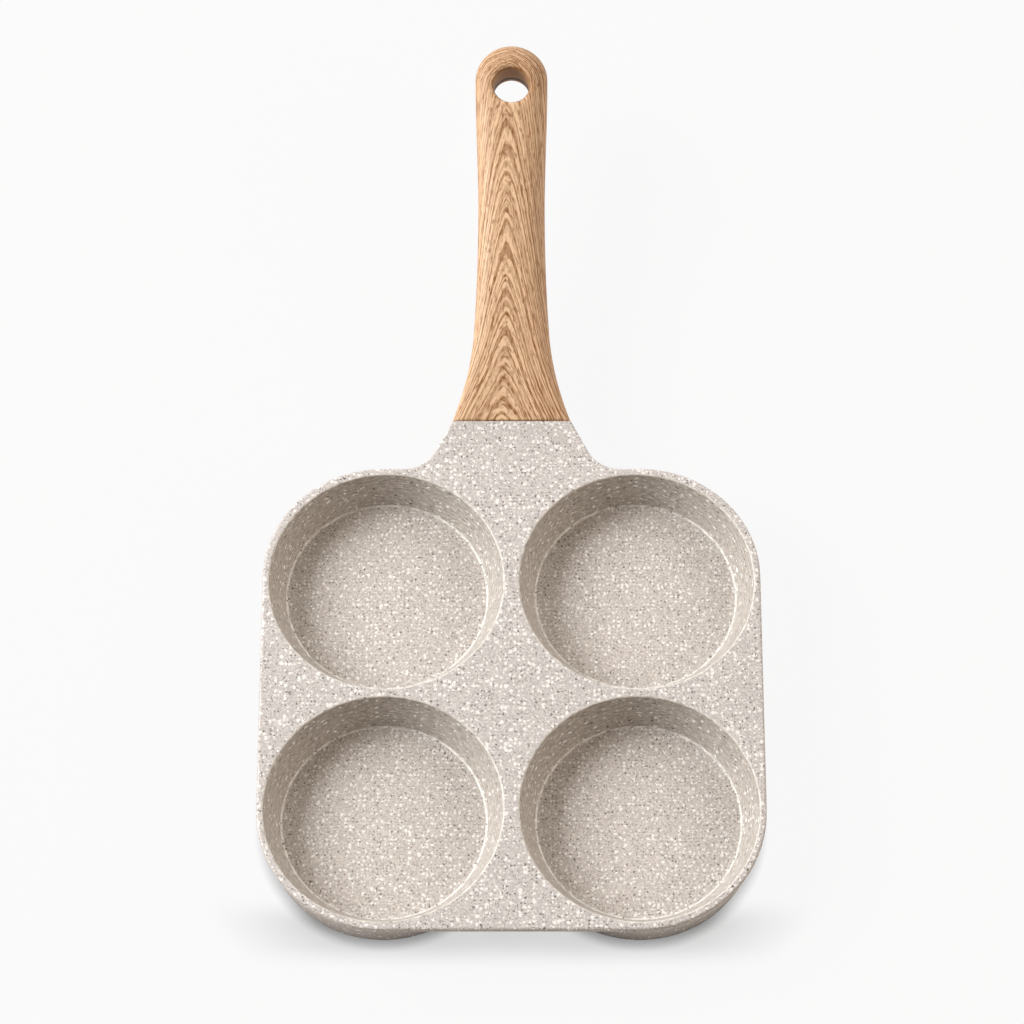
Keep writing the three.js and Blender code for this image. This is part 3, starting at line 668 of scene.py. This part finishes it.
def plate_and_neck(sizes, grip):
    """The plate and the neck: one outline, pushed up, rounded along its edges and bent to the joint."""
    half_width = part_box("pan_casting")[1].x
    front = CUP_PLACES[0].y - sizes.cup_rim_radius - sizes.lip_front
    back = CUP_PLACES[2].y + sizes.cup_rim_radius + sizes.lip_back
    top = sizes.cup_depth + sizes.cup_base
    bottom = top - sizes.plate_thickness
    middle = (top + bottom) / 2
    _, joint, joint_z = joint_place(sizes, grip)
    root = grip.joint_width / 2 + sizes.neck_flare

    piece = start("casting")
    bpy.ops.transform.resize(value=(half_width, (back - front) / 2, 1), center_override=(0, 0, 0))
    bpy.ops.transform.translate(value=(0, (back + front) / 2, bottom))

    # The back edge is divided in three, and its middle is pulled out as the neck
    pick("EDGE", both(lambda p: p.y > back - HAIR))
    bpy.ops.mesh.subdivide(number_cuts=2)
    pick("VERT", lambda v: v.co.y > back - HAIR and abs(v.co.x) < half_width / 2)
    bpy.ops.transform.resize(value=(3 * root / half_width, 1, 1), center_override=(0, back, bottom))
    pick("EDGE", both(lambda p: p.y > back - HAIR and abs(p.x) < root + HAIR))
    bpy.ops.mesh.extrude_region_move(TRANSFORM_OT_translate={"value": (0, sizes.neck_length, 0)})
    narrowing = grip.joint_width / 2 / root
    bpy.ops.transform.resize(value=(narrowing, 1, 1), center_override=(0, joint, bottom))
    pick("EDGE", both(lambda p: abs(p.y - back) < HAIR and abs(p.x) < root + HAIR))
    bpy.ops.mesh.dissolve_edges(use_verts=False)

    # Corners of the plate, then the fillets where neck and plate meet
    for edge, radius in ((front, sizes.corner_front), (back, sizes.corner_back)):
        pick("VERT", lambda v: abs(v.co.x) > half_width - HAIR and abs(v.co.y - edge) < HAIR)
        bpy.ops.mesh.bevel(offset=radius, segments=20, profile=0.5, affect="VERTICES")
    turn = math.pi / 2 - math.atan2(sizes.neck_flare, sizes.neck_length)
    fillet_run = sizes.neck_fillet * math.tan(turn / 2)
    pick("VERT", lambda v: abs(v.co.y - back) < HAIR and abs(abs(v.co.x) - root) < HAIR)
    bpy.ops.mesh.bevel(offset=fillet_run, segments=10, profile=0.5, affect="VERTICES")

    bpy.ops.mesh.select_all(action="SELECT")
    bpy.ops.mesh.extrude_region_move(TRANSFORM_OT_translate={"value": (0, 0, sizes.plate_thickness)})
    at_joint = both(lambda p: p.y > joint - HAIR)
    pick("EDGE", lambda e: abs(e.verts[0].co.z - e.verts[1].co.z) < HAIR and not at_joint(e))
    bpy.ops.mesh.bevel(offset=sizes.edge_round, segments=4, profile=0.5, affect="EDGES")

    # Rows of points across the neck, and on the underside where the neck runs in below the plate
    for share in (0.01, 0.15, 0.3, 0.45, 0.6, 0.75, 0.88):
        bpy.ops.mesh.select_all(action="SELECT")
        bpy.ops.mesh.bisect(plane_co=(0, back + share * sizes.neck_length, 0), plane_no=(0, 1, 0))
    web = root + fillet_run

    def under_root(face):
        middle_y = face.calc_center_median().y
        return face.normal.z < -0.99 and back - sizes.neck_root < middle_y < back

    pick("FACE", lambda f: f.normal.z < -0.99 and f.calc_center_median().y < back)
    bpy.ops.mesh.bisect(plane_co=(0, back - sizes.neck_root, 0), plane_no=(0, 1, 0))
    for share in (0.66, 0.33):
        pick("FACE", under_root)
        bpy.ops.mesh.bisect(plane_co=(0, back - share * sizes.neck_root, 0), plane_no=(0, 1, 0))
    for x in (-web, web):
        pick("FACE", under_root)
        bpy.ops.mesh.bisect(plane_co=(x, 0, 0), plane_no=(1, 0, 0))

    # The top bends up along an arc to the handle's rise, the underside goes down to the joint's lower edge
    bend_radius = sizes.neck_length / math.sin(grip.rise)
    reach = grip.joint_thickness * math.sin(grip.rise)
    joint_bottom = joint_z - grip.joint_thickness * math.cos(grip.rise)
    belly = (back, joint_bottom + sizes.neck_belly)
    curve = [(back - sizes.neck_root, bottom), belly, (joint + reach, joint_bottom)]

    def top_lift(y):
        along = min(max(y - back, 0), sizes.neck_length)
        return bend_radius - math.sqrt(bend_radius**2 - along**2)

    def under_drop(y):
        low, high = 0.0, 1.0
        while high - low > 1e-9:
            t = (low + high) / 2
            here = (1 - t) ** 2 * curve[0][0] + 2 * t * (1 - t) * curve[1][0] + t * t * curve[2][0]
            low, high = (t, high) if here < y and y < joint - HAIR or y > joint - HAIR else (low, t)
        return bottom - ((1 - t) ** 2 * curve[0][1] + 2 * t * (1 - t) * curve[1][1] + t * t * curve[2][1])

    def in_neck(p):
        below = abs(p.x) < web + HAIR and p.z < bottom + HAIR
        return p.y > back + HAIR or (p.y > back - sizes.neck_root + HAIR and below)

    def row(value):
        return round(value / HAIR)

    def each_row(test, axis, move):
        form = bmesh.from_edit_mesh(bpy.context.edit_object.data)
        for key in sorted({row(v.co[axis]) for v in form.verts if test(v.co)}):
            pick("VERT", lambda v: test(v.co) and row(v.co[axis]) == key)
            bpy.ops.transform.translate(value=move(key * HAIR))

    each_row(lambda p: in_neck(p) and p.z < middle, 1, lambda y: (0, 0, -under_drop(y)))
    each_row(lambda p: in_neck(p) and p.z > middle, 1, lambda y: (0, 0, top_lift(y)))

    # The joint's face leans back with the handle
    each_row(lambda p: abs(p.y - joint) < HAIR, 2, lambda z: (0, (joint_z - z) * math.tan(grip.rise), 0))
    pick("FACE", lambda f: f.calc_center_median().y > back - sizes.neck_root)
    bpy.ops.mesh.quads_convert_to_tris(quad_method="BEAUTY", ngon_method="BEAUTY")
    close_up()
    return piece


def cup_outside(sizes):
    """The outside of one cup: the recess for its disc, its foot, and its wall up into the plate."""
    base_radius = sizes.cup_floor_radius + sizes.wall_at_floor
    inside_plate = sizes.cup_depth + sizes.cup_base - sizes.plate_thickness / 2
    recess = [(0, sizes.recess_depth), (sizes.recess_radius, sizes.recess_depth), (sizes.recess_radius, 0)]
    foot = arc(base_radius - sizes.base_round, sizes.base_round, sizes.base_round, -math.pi / 2, 0, 5)
    wall = [(sizes.cup_rim_radius + sizes.wall_at_rim, inside_plate), (0, inside_plate)]
    return turned("cup_outside", recess + foot + wall)


def cup_hollow(sizes):
    """The hollow of one cup: floor, fillet, sloping wall and rounded rim."""
    top = sizes.cup_depth + sizes.cup_base
    slope = math.atan2(sizes.cup_rim_radius - sizes.cup_floor_radius, sizes.cup_depth)
    ease = math.tan(math.pi / 4 - slope / 2)
    floor_arc = arc(
        sizes.cup_floor_radius - sizes.floor_fillet * ease,
        sizes.cup_base + sizes.floor_fillet,
        sizes.floor_fillet,
        -math.pi / 2,
        -slope,
        6,
    )
    rim_x = sizes.cup_rim_radius + sizes.rim_round * ease
    rim_arc = arc(rim_x, top - sizes.rim_round + HAIR, sizes.rim_round, math.pi - slope, math.pi / 2, 6)
    profile = [(0, sizes.cup_base), *floor_arc, *rim_arc, (rim_x, top + 2 * MM), (0, top + 2 * MM)]
    return turned("cup_hollow", profile)


class PAN_OT_casting(Operator):
    """Models the plate, the four cups and the neck as one casting"""

    bl_idname = "pancake_pan.casting"
    bl_label = "Casting"

    def execute(self, context):
        sizes = context.scene.pan_casting_sizes
        grip = context.scene.pan_grip_sizes
        fixings = context.scene.pan_fixing_sizes
        casting = plate_and_neck(sizes, grip)
        combine(casting, copies(cup_outside(sizes), CUP_PLACES), "UNION")
        combine(casting, copies(cup_hollow(sizes), CUP_PLACES), "DIFFERENCE")

        # Pegs of the casting stand in the holes of the discs
        low, high = sizes.recess_depth - fixings.disc_thickness, sizes.recess_depth + 0.2 * MM
        ease = 0.15 * MM
        side = [(sizes.peg_radius - ease, low), (sizes.peg_radius, low + ease), (sizes.peg_radius, high)]
        peg = turned("peg", [(0, low), *side, (0, high)], steps=20)
        pegs = copies(peg, [place + Vector(hole) for place in CUP_PLACES for hole in hole_places(fixings)])
        combine(casting, pegs, "UNION")

        colours = context.scene.pan_finish_colours
        top = sizes.cup_depth + sizes.cup_base
        slope = math.sin(math.atan2(sizes.cup_rim_radius - sizes.cup_floor_radius, sizes.cup_depth))
        wall_low = sizes.cup_base + sizes.floor_fillet * (1 - slope)
        wall_high = top - sizes.rim_round * (1 - slope)

        def in_cup(face, low, high):
            middle = face.calc_center_median()
            away = min(math.hypot(middle.x - p.x, middle.y - p.y) for p in CUP_PLACES)
            return away < sizes.cup_rim_radius + sizes.rim_round and low < middle.z < high

        def on_floor(face):
            return face.normal.z > 0 and in_cup(face, sizes.cup_base - HAIR, sizes.cup_base + HAIR)

        def on_crease(face):
            return face.normal.z > 0 and in_cup(face, sizes.cup_base + HAIR, wall_low)

        def on_wall(face):
            return face.normal.z > 0 and in_cup(face, wall_low, wall_high)

        def on_rim(face):
            return in_cup(face, wall_high, top - HAIR)

        def on_top(face):
            flat = face.normal.z > 0.6 and face.calc_center_median().z > top - sizes.edge_round
            return flat or in_cup(face, wall_high, top)

        def coat(zone, ground, kind, lie="flat"):
            return granite_coat(f"granite_coat_{zone}", ground, colours, *SPECKS[kind], lie)

        paint(
            casting,
            [
                # The outside ground is the coat's own colour, darkened partly as painted shade
                (coat("outside", colours.outer_coat_and_shade, "outside", "round"), None),
                (coat("plate", colours.plate_coat, "plate"), on_top),
                # Painted highlight: the rim zone gets a lighter ground for the light on its rounding
                (coat("rim", colours.rim_highlight_coat, "wall", "wall"), on_rim),
                (coat("floor", colours.floor_coat, "floor"), on_floor),
                # The wall ground is the coat's own colour, darkened partly as painted shade
                (coat("wall", colours.wall_coat_and_shade, "wall", "wall"), on_wall),
                # Painted highlight: the crease zone gets a lighter ground for the light line on its rounding
                (coat("crease", colours.crease_highlight_coat, "wall", "wall"), on_crease),
            ],
        )
        only(casting)
        bpy.ops.object.shade_smooth_by_angle(angle=math.radians(35))
        finish_with(casting, "WEIGHTED_NORMAL", keep_sharp=True, weight=80)
        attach(casting, "root")
        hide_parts("pan_casting")
        return {"FINISHED"}


def grip_section(grip, along):
    """Half width, thickness and squareness of the grip at a distance from the joint."""
    end_start = grip.grip_length - grip.end_width / 2
    flare = max(0, 1 - along / grip.flare_length) ** 2
    foot = max(0, 1 - along / grip.foot_length) ** 2
    long_flare = (grip.joint_width - grip.waist_width) / 2 - grip.foot_flare
    step = min(max((along - grip.flare_length) / (end_start - grip.flare_length), 0), 1)
    swell = step * step * (3 - 2 * step)
    waist = (grip.waist_width + (grip.end_width - grip.waist_width) * swell) / 2
    thin = along / end_start
    return (
        waist + long_flare * flare + grip.foot_flare * foot,
        grip.joint_thickness + (grip.end_thickness - grip.joint_thickness) * thin,
        grip.grip_square + (grip.joint_square - grip.grip_square) * flare**2,
    )


def grip_skin(grip):
    """The grip's closed skin: rounded sections bridged along its length, and the last one spun into the end."""
    end_start = grip.grip_length - grip.end_width / 2
    flare_steps, straight_steps = 20, 8
    flare_run, crowding = grip.flare_length - grip.joint_gap, 1.3
    stations = [grip.joint_gap + flare_run * (i / flare_steps) ** crowding for i in range(flare_steps)]
    straight = end_start - grip.flare_length
    stations += [grip.flare_length + straight * i / straight_steps for i in range(straight_steps + 1)]
    piece = start("grip")
    bpy.ops.mesh.delete(type="VERT")
    for along in stations:
        half_width, thickness, squareness = grip_section(grip, along)
        middle = (0, along, -thickness / 2)
        bpy.ops.mesh.primitive_plane_add(size=2, location=middle, rotation=(math.pi / 2, 0, 0))
        bpy.ops.transform.resize(value=(half_width, 1, thickness / 2), center_override=middle)
        bpy.ops.mesh.bevel(
            offset_type="PERCENT", offset_pct=50, segments=16, profile=2 ** (-2 / squareness), affect="VERTICES"
        )
        bpy.ops.mesh.delete(type="ONLY_FACE")
    bpy.ops.mesh.select_all(action="SELECT")
    bpy.ops.mesh.remove_doubles(threshold=HAIR)
    for here, there in zip(stations, stations[1:]):
        pick("EDGE", both(lambda p: abs(p.y - here) < HAIR or abs(p.y - there) < HAIR))
        bpy.ops.mesh.bridge_edge_loops()
    pick("EDGE", both(lambda p: abs(p.y - grip.joint_gap) < HAIR))
    bpy.ops.mesh.edge_face_add()
    pick("EDGE", both(lambda p: p.y > end_start - HAIR and p.x > -HAIR))
    bpy.ops.mesh.spin(steps=40, angle=-math.pi, center=(0, end_start, 0), axis=(0, 0, 1))
    close_up()
    return piece


class PAN_OT_grip(Operator):
    """Models the moulded grip with its hang hole and the bore for its screw"""

    bl_idname = "pancake_pan.grip"
    bl_label = "Grip"

    def execute(self, context):
        grip = context.scene.pan_grip_sizes
        fixings = context.scene.pan_fixing_sizes
        piece = grip_skin(grip)
        along = grip.grip_length - grip.hole_from_end
        thickness = grip_section(grip, along)[1]
        radius = grip.hole_radius
        profile = [(0, -thickness - MM), (radius, -thickness - MM), (radius, MM), (0, MM)]
        combine(piece, turned("hang_hole", profile, (0, along, 0), 96), "DIFFERENCE")
        depth = grip_section(grip, fixings.screw_from_joint)[1] + MM
        ceiling = -fixings.bore_ceiling
        bore = [(0, -depth), (fixings.bore_radius, -depth), (fixings.bore_radius, ceiling), (0, ceiling)]
        combine(piece, turned("screw_bore", bore, (0, fixings.screw_from_joint, 0), 64), "DIFFERENCE")
        finish_with(piece, "REMESH", mode="VOXEL", voxel_size=grip.skin_grain)

        # Both edges of the hang hole are eased until they are round
        only(piece)
        bpy.ops.object.mode_set(mode="EDIT")
        near, far = radius - 0.5 * MM, radius + 1.3 * grip.hole_round

        def at_edge(vertex):
            away = math.hypot(vertex.co.x, vertex.co.y - along)
            deep, eased = -vertex.co.z, 1.6 * grip.hole_round
            return near < away < far and (deep < eased or deep > thickness - eased)

        pick("VERT", at_edge)
        bpy.ops.mesh.vertices_smooth(factor=0.5, repeat=30)
        bpy.ops.mesh.select_all(action="SELECT")
        bpy.ops.mesh.vertices_smooth(factor=0.5, repeat=3)
        close_up()
        bpy.ops.object.shade_smooth()
        onto_handle(piece, context.scene)
        paint(piece, [(wood_film(context.scene), None)])
        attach(piece, "root")
        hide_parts("handle_grip")
        return {"FINISHED"}


class PAN_OT_discs(Operator):
    """Models the perforated steel disc under each cup"""

    bl_idname = "pancake_pan.discs"
    bl_label = "Steel discs"

    def execute(self, context):
        fixings = context.scene.pan_fixing_sizes
        ceiling = context.scene.pan_casting_sizes.recess_depth
        steel = brushed_steel(context.scene.pan_finish_colours)
        model = start("steel_disc")
        bpy.ops.mesh.delete(type="VERT")
        bpy.ops.mesh.primitive_circle_add(vertices=96, radius=fixings.disc_radius, location=(0, 0, ceiling))
        for x, y, _ in hole_places(fixings):
            bpy.ops.mesh.primitive_circle_add(vertices=24, radius=fixings.disc_hole, location=(x, y, ceiling))
        bpy.ops.mesh.select_all(action="SELECT")
        bpy.ops.mesh.fill(use_beauty=True)
        bpy.ops.mesh.select_all(action="SELECT")
        bpy.ops.mesh.extrude_region_move(TRANSFORM_OT_translate={"value": (0, 0, -fixings.disc_thickness)})
        low = ceiling - fixings.disc_thickness + HAIR

        def sharp_below(edge):
            flat = all(v.co.z < low for v in edge.verts)
            return flat and any(abs(f.normal.z) < 0.1 for f in edge.link_faces)

        pick("EDGE", sharp_below)
        bpy.ops.mesh.bevel(offset=0.12 * MM, segments=2, profile=0.5, affect="EDGES")
        close_up()
        bpy.ops.object.shade_smooth_by_angle(angle=math.radians(40))
        for cup, place in zip(CUPS, CUP_PLACES):
            disc = copy_to(model, f"disc_{cup}", place)
            disc.data.materials.append(steel)
            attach(disc, "root")
            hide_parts(f"induction_disc_{cup}")
        bpy.data.objects.remove(model)
        return {"FINISHED"}


class PAN_OT_fixings(Operator):
    """Models the screw that holds the grip, and finishes its washers"""

    bl_idname = "pancake_pan.fixings"
    bl_label = "Screw and washers"

    def execute(self, context):
        fixings = context.scene.pan_fixing_sizes
        zinc = zinc_plate(context.scene.pan_finish_colours)
        seat = -fixings.head_top
        low = seat - fixings.head_height
        crown_round, head_edge, tip_taper = 0.9 * MM, 0.2 * MM, 0.6 * MM
        crown = arc(fixings.head_radius - crown_round, low + crown_round, crown_round, -math.pi / 2, 0, 6)
        tip = -fixings.shank_end
        profile = [
            (0, low),
            *crown,
            (fixings.head_radius, seat - head_edge),
            (fixings.head_radius - head_edge, seat),
            (fixings.shank_radius, seat),
            (fixings.shank_radius, tip - tip_taper),
            (fixings.shank_radius - tip_taper, tip),
            (0, tip),
        ]
        screw = turned("grip_screw", profile, (0, fixings.screw_from_joint, 0), 48)

        # The recess is cut by one cross: a square with an arm on each side, narrower at its foot
        half, arm, tall, foot, clear = 0.55 * MM, 2.6 * MM, 2.2 * MM, 0.6, 0.3 * MM
        cross = start("cross_recess", size=2 * half)
        for axis, way in ((0, -1), (0, 1), (1, -1), (1, 1)):
            pick("EDGE", both(lambda p: p[axis] * way > half - HAIR and abs(p[1 - axis]) < half + HAIR))
            outward = Vector((way * (1 - axis), way * axis, 0)) * (arm - half)
            bpy.ops.mesh.extrude_region_move(TRANSFORM_OT_translate={"value": outward})
        bpy.ops.mesh.select_all(action="SELECT")
        bpy.ops.mesh.extrude_region_move(TRANSFORM_OT_translate={"value": (0, 0, tall)})
        bpy.ops.transform.resize(value=(foot, foot, 1), center_override=(0, 0, 0))
        close_up()

        # A driven screw stops at any angle; this one keeps the corners of the cross off the spokes of the head
        cross.rotation_euler = (0, 0, math.radians(20))
        cross.location = (0, fixings.screw_from_joint, low - clear)
        only(cross)
        bpy.ops.object.transform_apply(location=True, rotation=True, scale=True)
        combine(screw, cross, "DIFFERENCE")
        only(screw)
        bpy.ops.object.shade_smooth_by_angle(angle=math.radians(35))
        onto_handle(screw, context.scene)
        screw.data.materials.append(zinc)
        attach(screw, "root")
        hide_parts("handle_screw")
        for node in ("spring_washer", "flat_washer"):
            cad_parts[node].material_slots[0].material = zinc
        return {"FINISHED"}


def seen_by_eye(node):
    """Share of a ray that an eye, a mirror or a glass sends: these see the even white, and light does not."""
    ray = node("LightPath")
    seen = 0.0
    for kind in ("Is Camera Ray", "Is Glossy Ray", "Is Transmission Ray"):
        seen = node("Math", {"operation": "ADD", "use_clamp": True}, {0: seen, 1: ray.outputs[kind]})
    return seen


def near_pan(node, reach, tight, clear, dark):
    """Darkness on the floor near the pan: full where little sky is left within reach, none where all is clear."""
    open_sky = node("AmbientOcclusion", {"samples": 2}, {"Distance": reach}).outputs["AO"]
    depth = limits(tight, clear, dark, 0.0)
    return node("MapRange", None, {"Value": open_sky, **depth})


def studio_floor(stage, colours):
    """Matt white studio floor: even white to the eye, with a painted soft shadow and a trace of the cast shadow.
    """
    material, node = new_material("studio_floor")
    apart = node("SeparateXYZ", None, {0: node("TexCoord").outputs["Object"]})
    # Painted shadow: ambient occlusion darkens the floor's white near the pan, faded by place so that the soft
    # shadow shows only along the front; the contact shadow is painted all round
    shade = near_pan(node, stage.shadow_reach, tight=0.53, clear=0.86, dark=0.33)
    for none, full in ((stage.shadow_back, stage.shadow_start), (stage.shadow_front, stage.shadow_end)):
        fade = {"Value": apart.outputs[1], "From Min": none, "From Max": full}
        fade = node("MapRange", {"interpolation_type": "SMOOTHSTEP"}, fade)
        shade = node("Math", "MULTIPLY", {0: shade, 1: fade})
    contact = near_pan(node, stage.contact_reach, tight=0.5, clear=0.92, dark=0.42)
    shade = node("Math", "ADD", {0: shade, 1: contact})
    light = node("Math", "SUBTRACT", {0: 1.0, 1: shade})
    share = node("Math", "MULTIPLY", {0: seen_by_eye(node), 1: 1 - stage.cast_share})
    matt = node("BsdfDiffuse", None, {"Color": colours.floor})
    white = node("Emission", None, {"Color": colours.floor, "Strength": light})
    surface = node("MixShader", None, {0: share, 1: matt, 2: white})
    node("OutputMaterial", None, {"Surface": surface})
    return material


def studio_backdrop(colours):
    """White paper round the floor: even white to the eye, and open to the light of the lamps and the sky."""
    material, node = new_material("studio_backdrop")
    white = node("Emission", None, {"Color": colours.floor, "Strength": 1.0})
    through = node("BsdfTransparent")
    surface = node("MixShader", None, {0: seen_by_eye(node), 1: through, 2: white})
    node("OutputMaterial", None, {"Surface": surface})
    return material


class PAN_OT_stage(Operator):
    """Sets the floor, the lamps and the camera"""

    bl_idname = "pancake_pan.stage"
    bl_label = "Stage"

    def execute(self, context):
        scene = context.scene
        stage, colours = scene.pan_stage_settings, scene.pan_finish_colours
        floor_width, below, backdrop_radius, backdrop_height, film_width = 6, 0.1 * MM, 2.9, 2, 36
        bpy.ops.mesh.primitive_plane_add(size=floor_width, location=(0, 0, 0))
        floor = context.active_object
        floor.name = "floor"
        floor.data.materials.append(studio_floor(stage, colours))
        bpy.ops.object.mode_set(mode="EDIT")
        bpy.ops.mesh.select_all(action="SELECT")
        bpy.ops.transform.translate(value=(0, 0, -below))
        bpy.ops.object.mode_set(mode="OBJECT")
        bpy.ops.mesh.primitive_cylinder_add(radius=backdrop_radius, depth=backdrop_height, end_fill_type="NOTHING")
        backdrop = context.active_object
        backdrop.name = "backdrop"
        backdrop.data.materials.append(studio_backdrop(colours))

        target = Vector((stage.look_x, stage.look_y, stage.look_z))
        back = stage.distance * Vector((0, -math.cos(stage.elevation), math.sin(stage.elevation)))
        bpy.ops.object.camera_add(location=target + back, rotation=(math.pi / 2 - stage.elevation, 0, 0))
        camera = context.active_object
        camera.data.lens = stage.focal
        camera.data.sensor_width = film_width
        scene.camera = camera

        for name in ("key", "side", "back"):
            turn, height = getattr(stage, f"{name}_azimuth"), getattr(stage, f"{name}_elevation")
            way = Vector((math.cos(turn) * math.cos(height), math.sin(turn) * math.cos(height), math.sin(height)))
            bpy.ops.object.light_add(type="AREA", location=CUP_MIDDLE + way * stage.lamp_distance)
            lamp = context.active_object
            lamp.name = f"{name}_lamp"
            lamp.rotation_euler = way.to_track_quat("Z", "Y").to_euler()
            lamp.data.shape = "RECTANGLE"
            lamp.data.size = getattr(stage, f"{name}_width")
            lamp.data.size_y = stage.lamp_height
            lamp.data.energy = getattr(stage, f"{name}_power")
            lamp.data.color = colours.side_light if name == "side" else colours.lamp_light

        world = bpy.data.worlds.new("studio")
        world.use_nodes = True
        sky = world.node_tree.nodes["Background"]
        sky.inputs["Color"].default_value = (*colours.sky_light, 1)
        sky.inputs["Strength"].default_value = stage.sky
        scene.world = world
        scene.view_settings.view_transform = "Standard"
        return {"FINISHED"}


class PAN_PT_panel(Panel):
    """Lists the steps that build the pan"""

    bl_idname = "PAN_PT_panel"
    bl_label = "Pancake pan"
    bl_space_type = "VIEW_3D"
    bl_region_type = "UI"
    bl_category = "Pancake pan"

    def draw(self, context):
        for step in STEPS:
            self.layout.operator(step.bl_idname)


STEPS = (PAN_OT_casting, PAN_OT_grip, PAN_OT_discs, PAN_OT_fixings, PAN_OT_stage)
SETTINGS = {
    "pan_casting_sizes": CastingSizes,
    "pan_grip_sizes": GripSizes,
    "pan_fixing_sizes": FixingSizes,
    "pan_finish_colours": FinishColours,
    "pan_stage_settings": StageSettings,
}


def register():
    """Adds the settings, the operators and the panel."""
    for kind in (*SETTINGS.values(), *STEPS, PAN_PT_panel):
        bpy.utils.register_class(kind)
    for name, kind in SETTINGS.items():
        setattr(bpy.types.Scene, name, PointerProperty(type=kind))


def unregister():
    """Removes the settings, the operators and the panel."""
    for name in SETTINGS:
        delattr(bpy.types.Scene, name)
    for kind in (PAN_PT_panel, *reversed(STEPS), *reversed(SETTINGS.values())):
        bpy.utils.unregister_class(kind)


def main():
    """Builds the pan and its stage."""
    register()
    bpy.ops.pancake_pan.casting()
    bpy.ops.pancake_pan.grip()
    bpy.ops.pancake_pan.discs()
    bpy.ops.pancake_pan.fixings()
    bpy.ops.pancake_pan.stage()


if __name__ == "__main__":
    main()
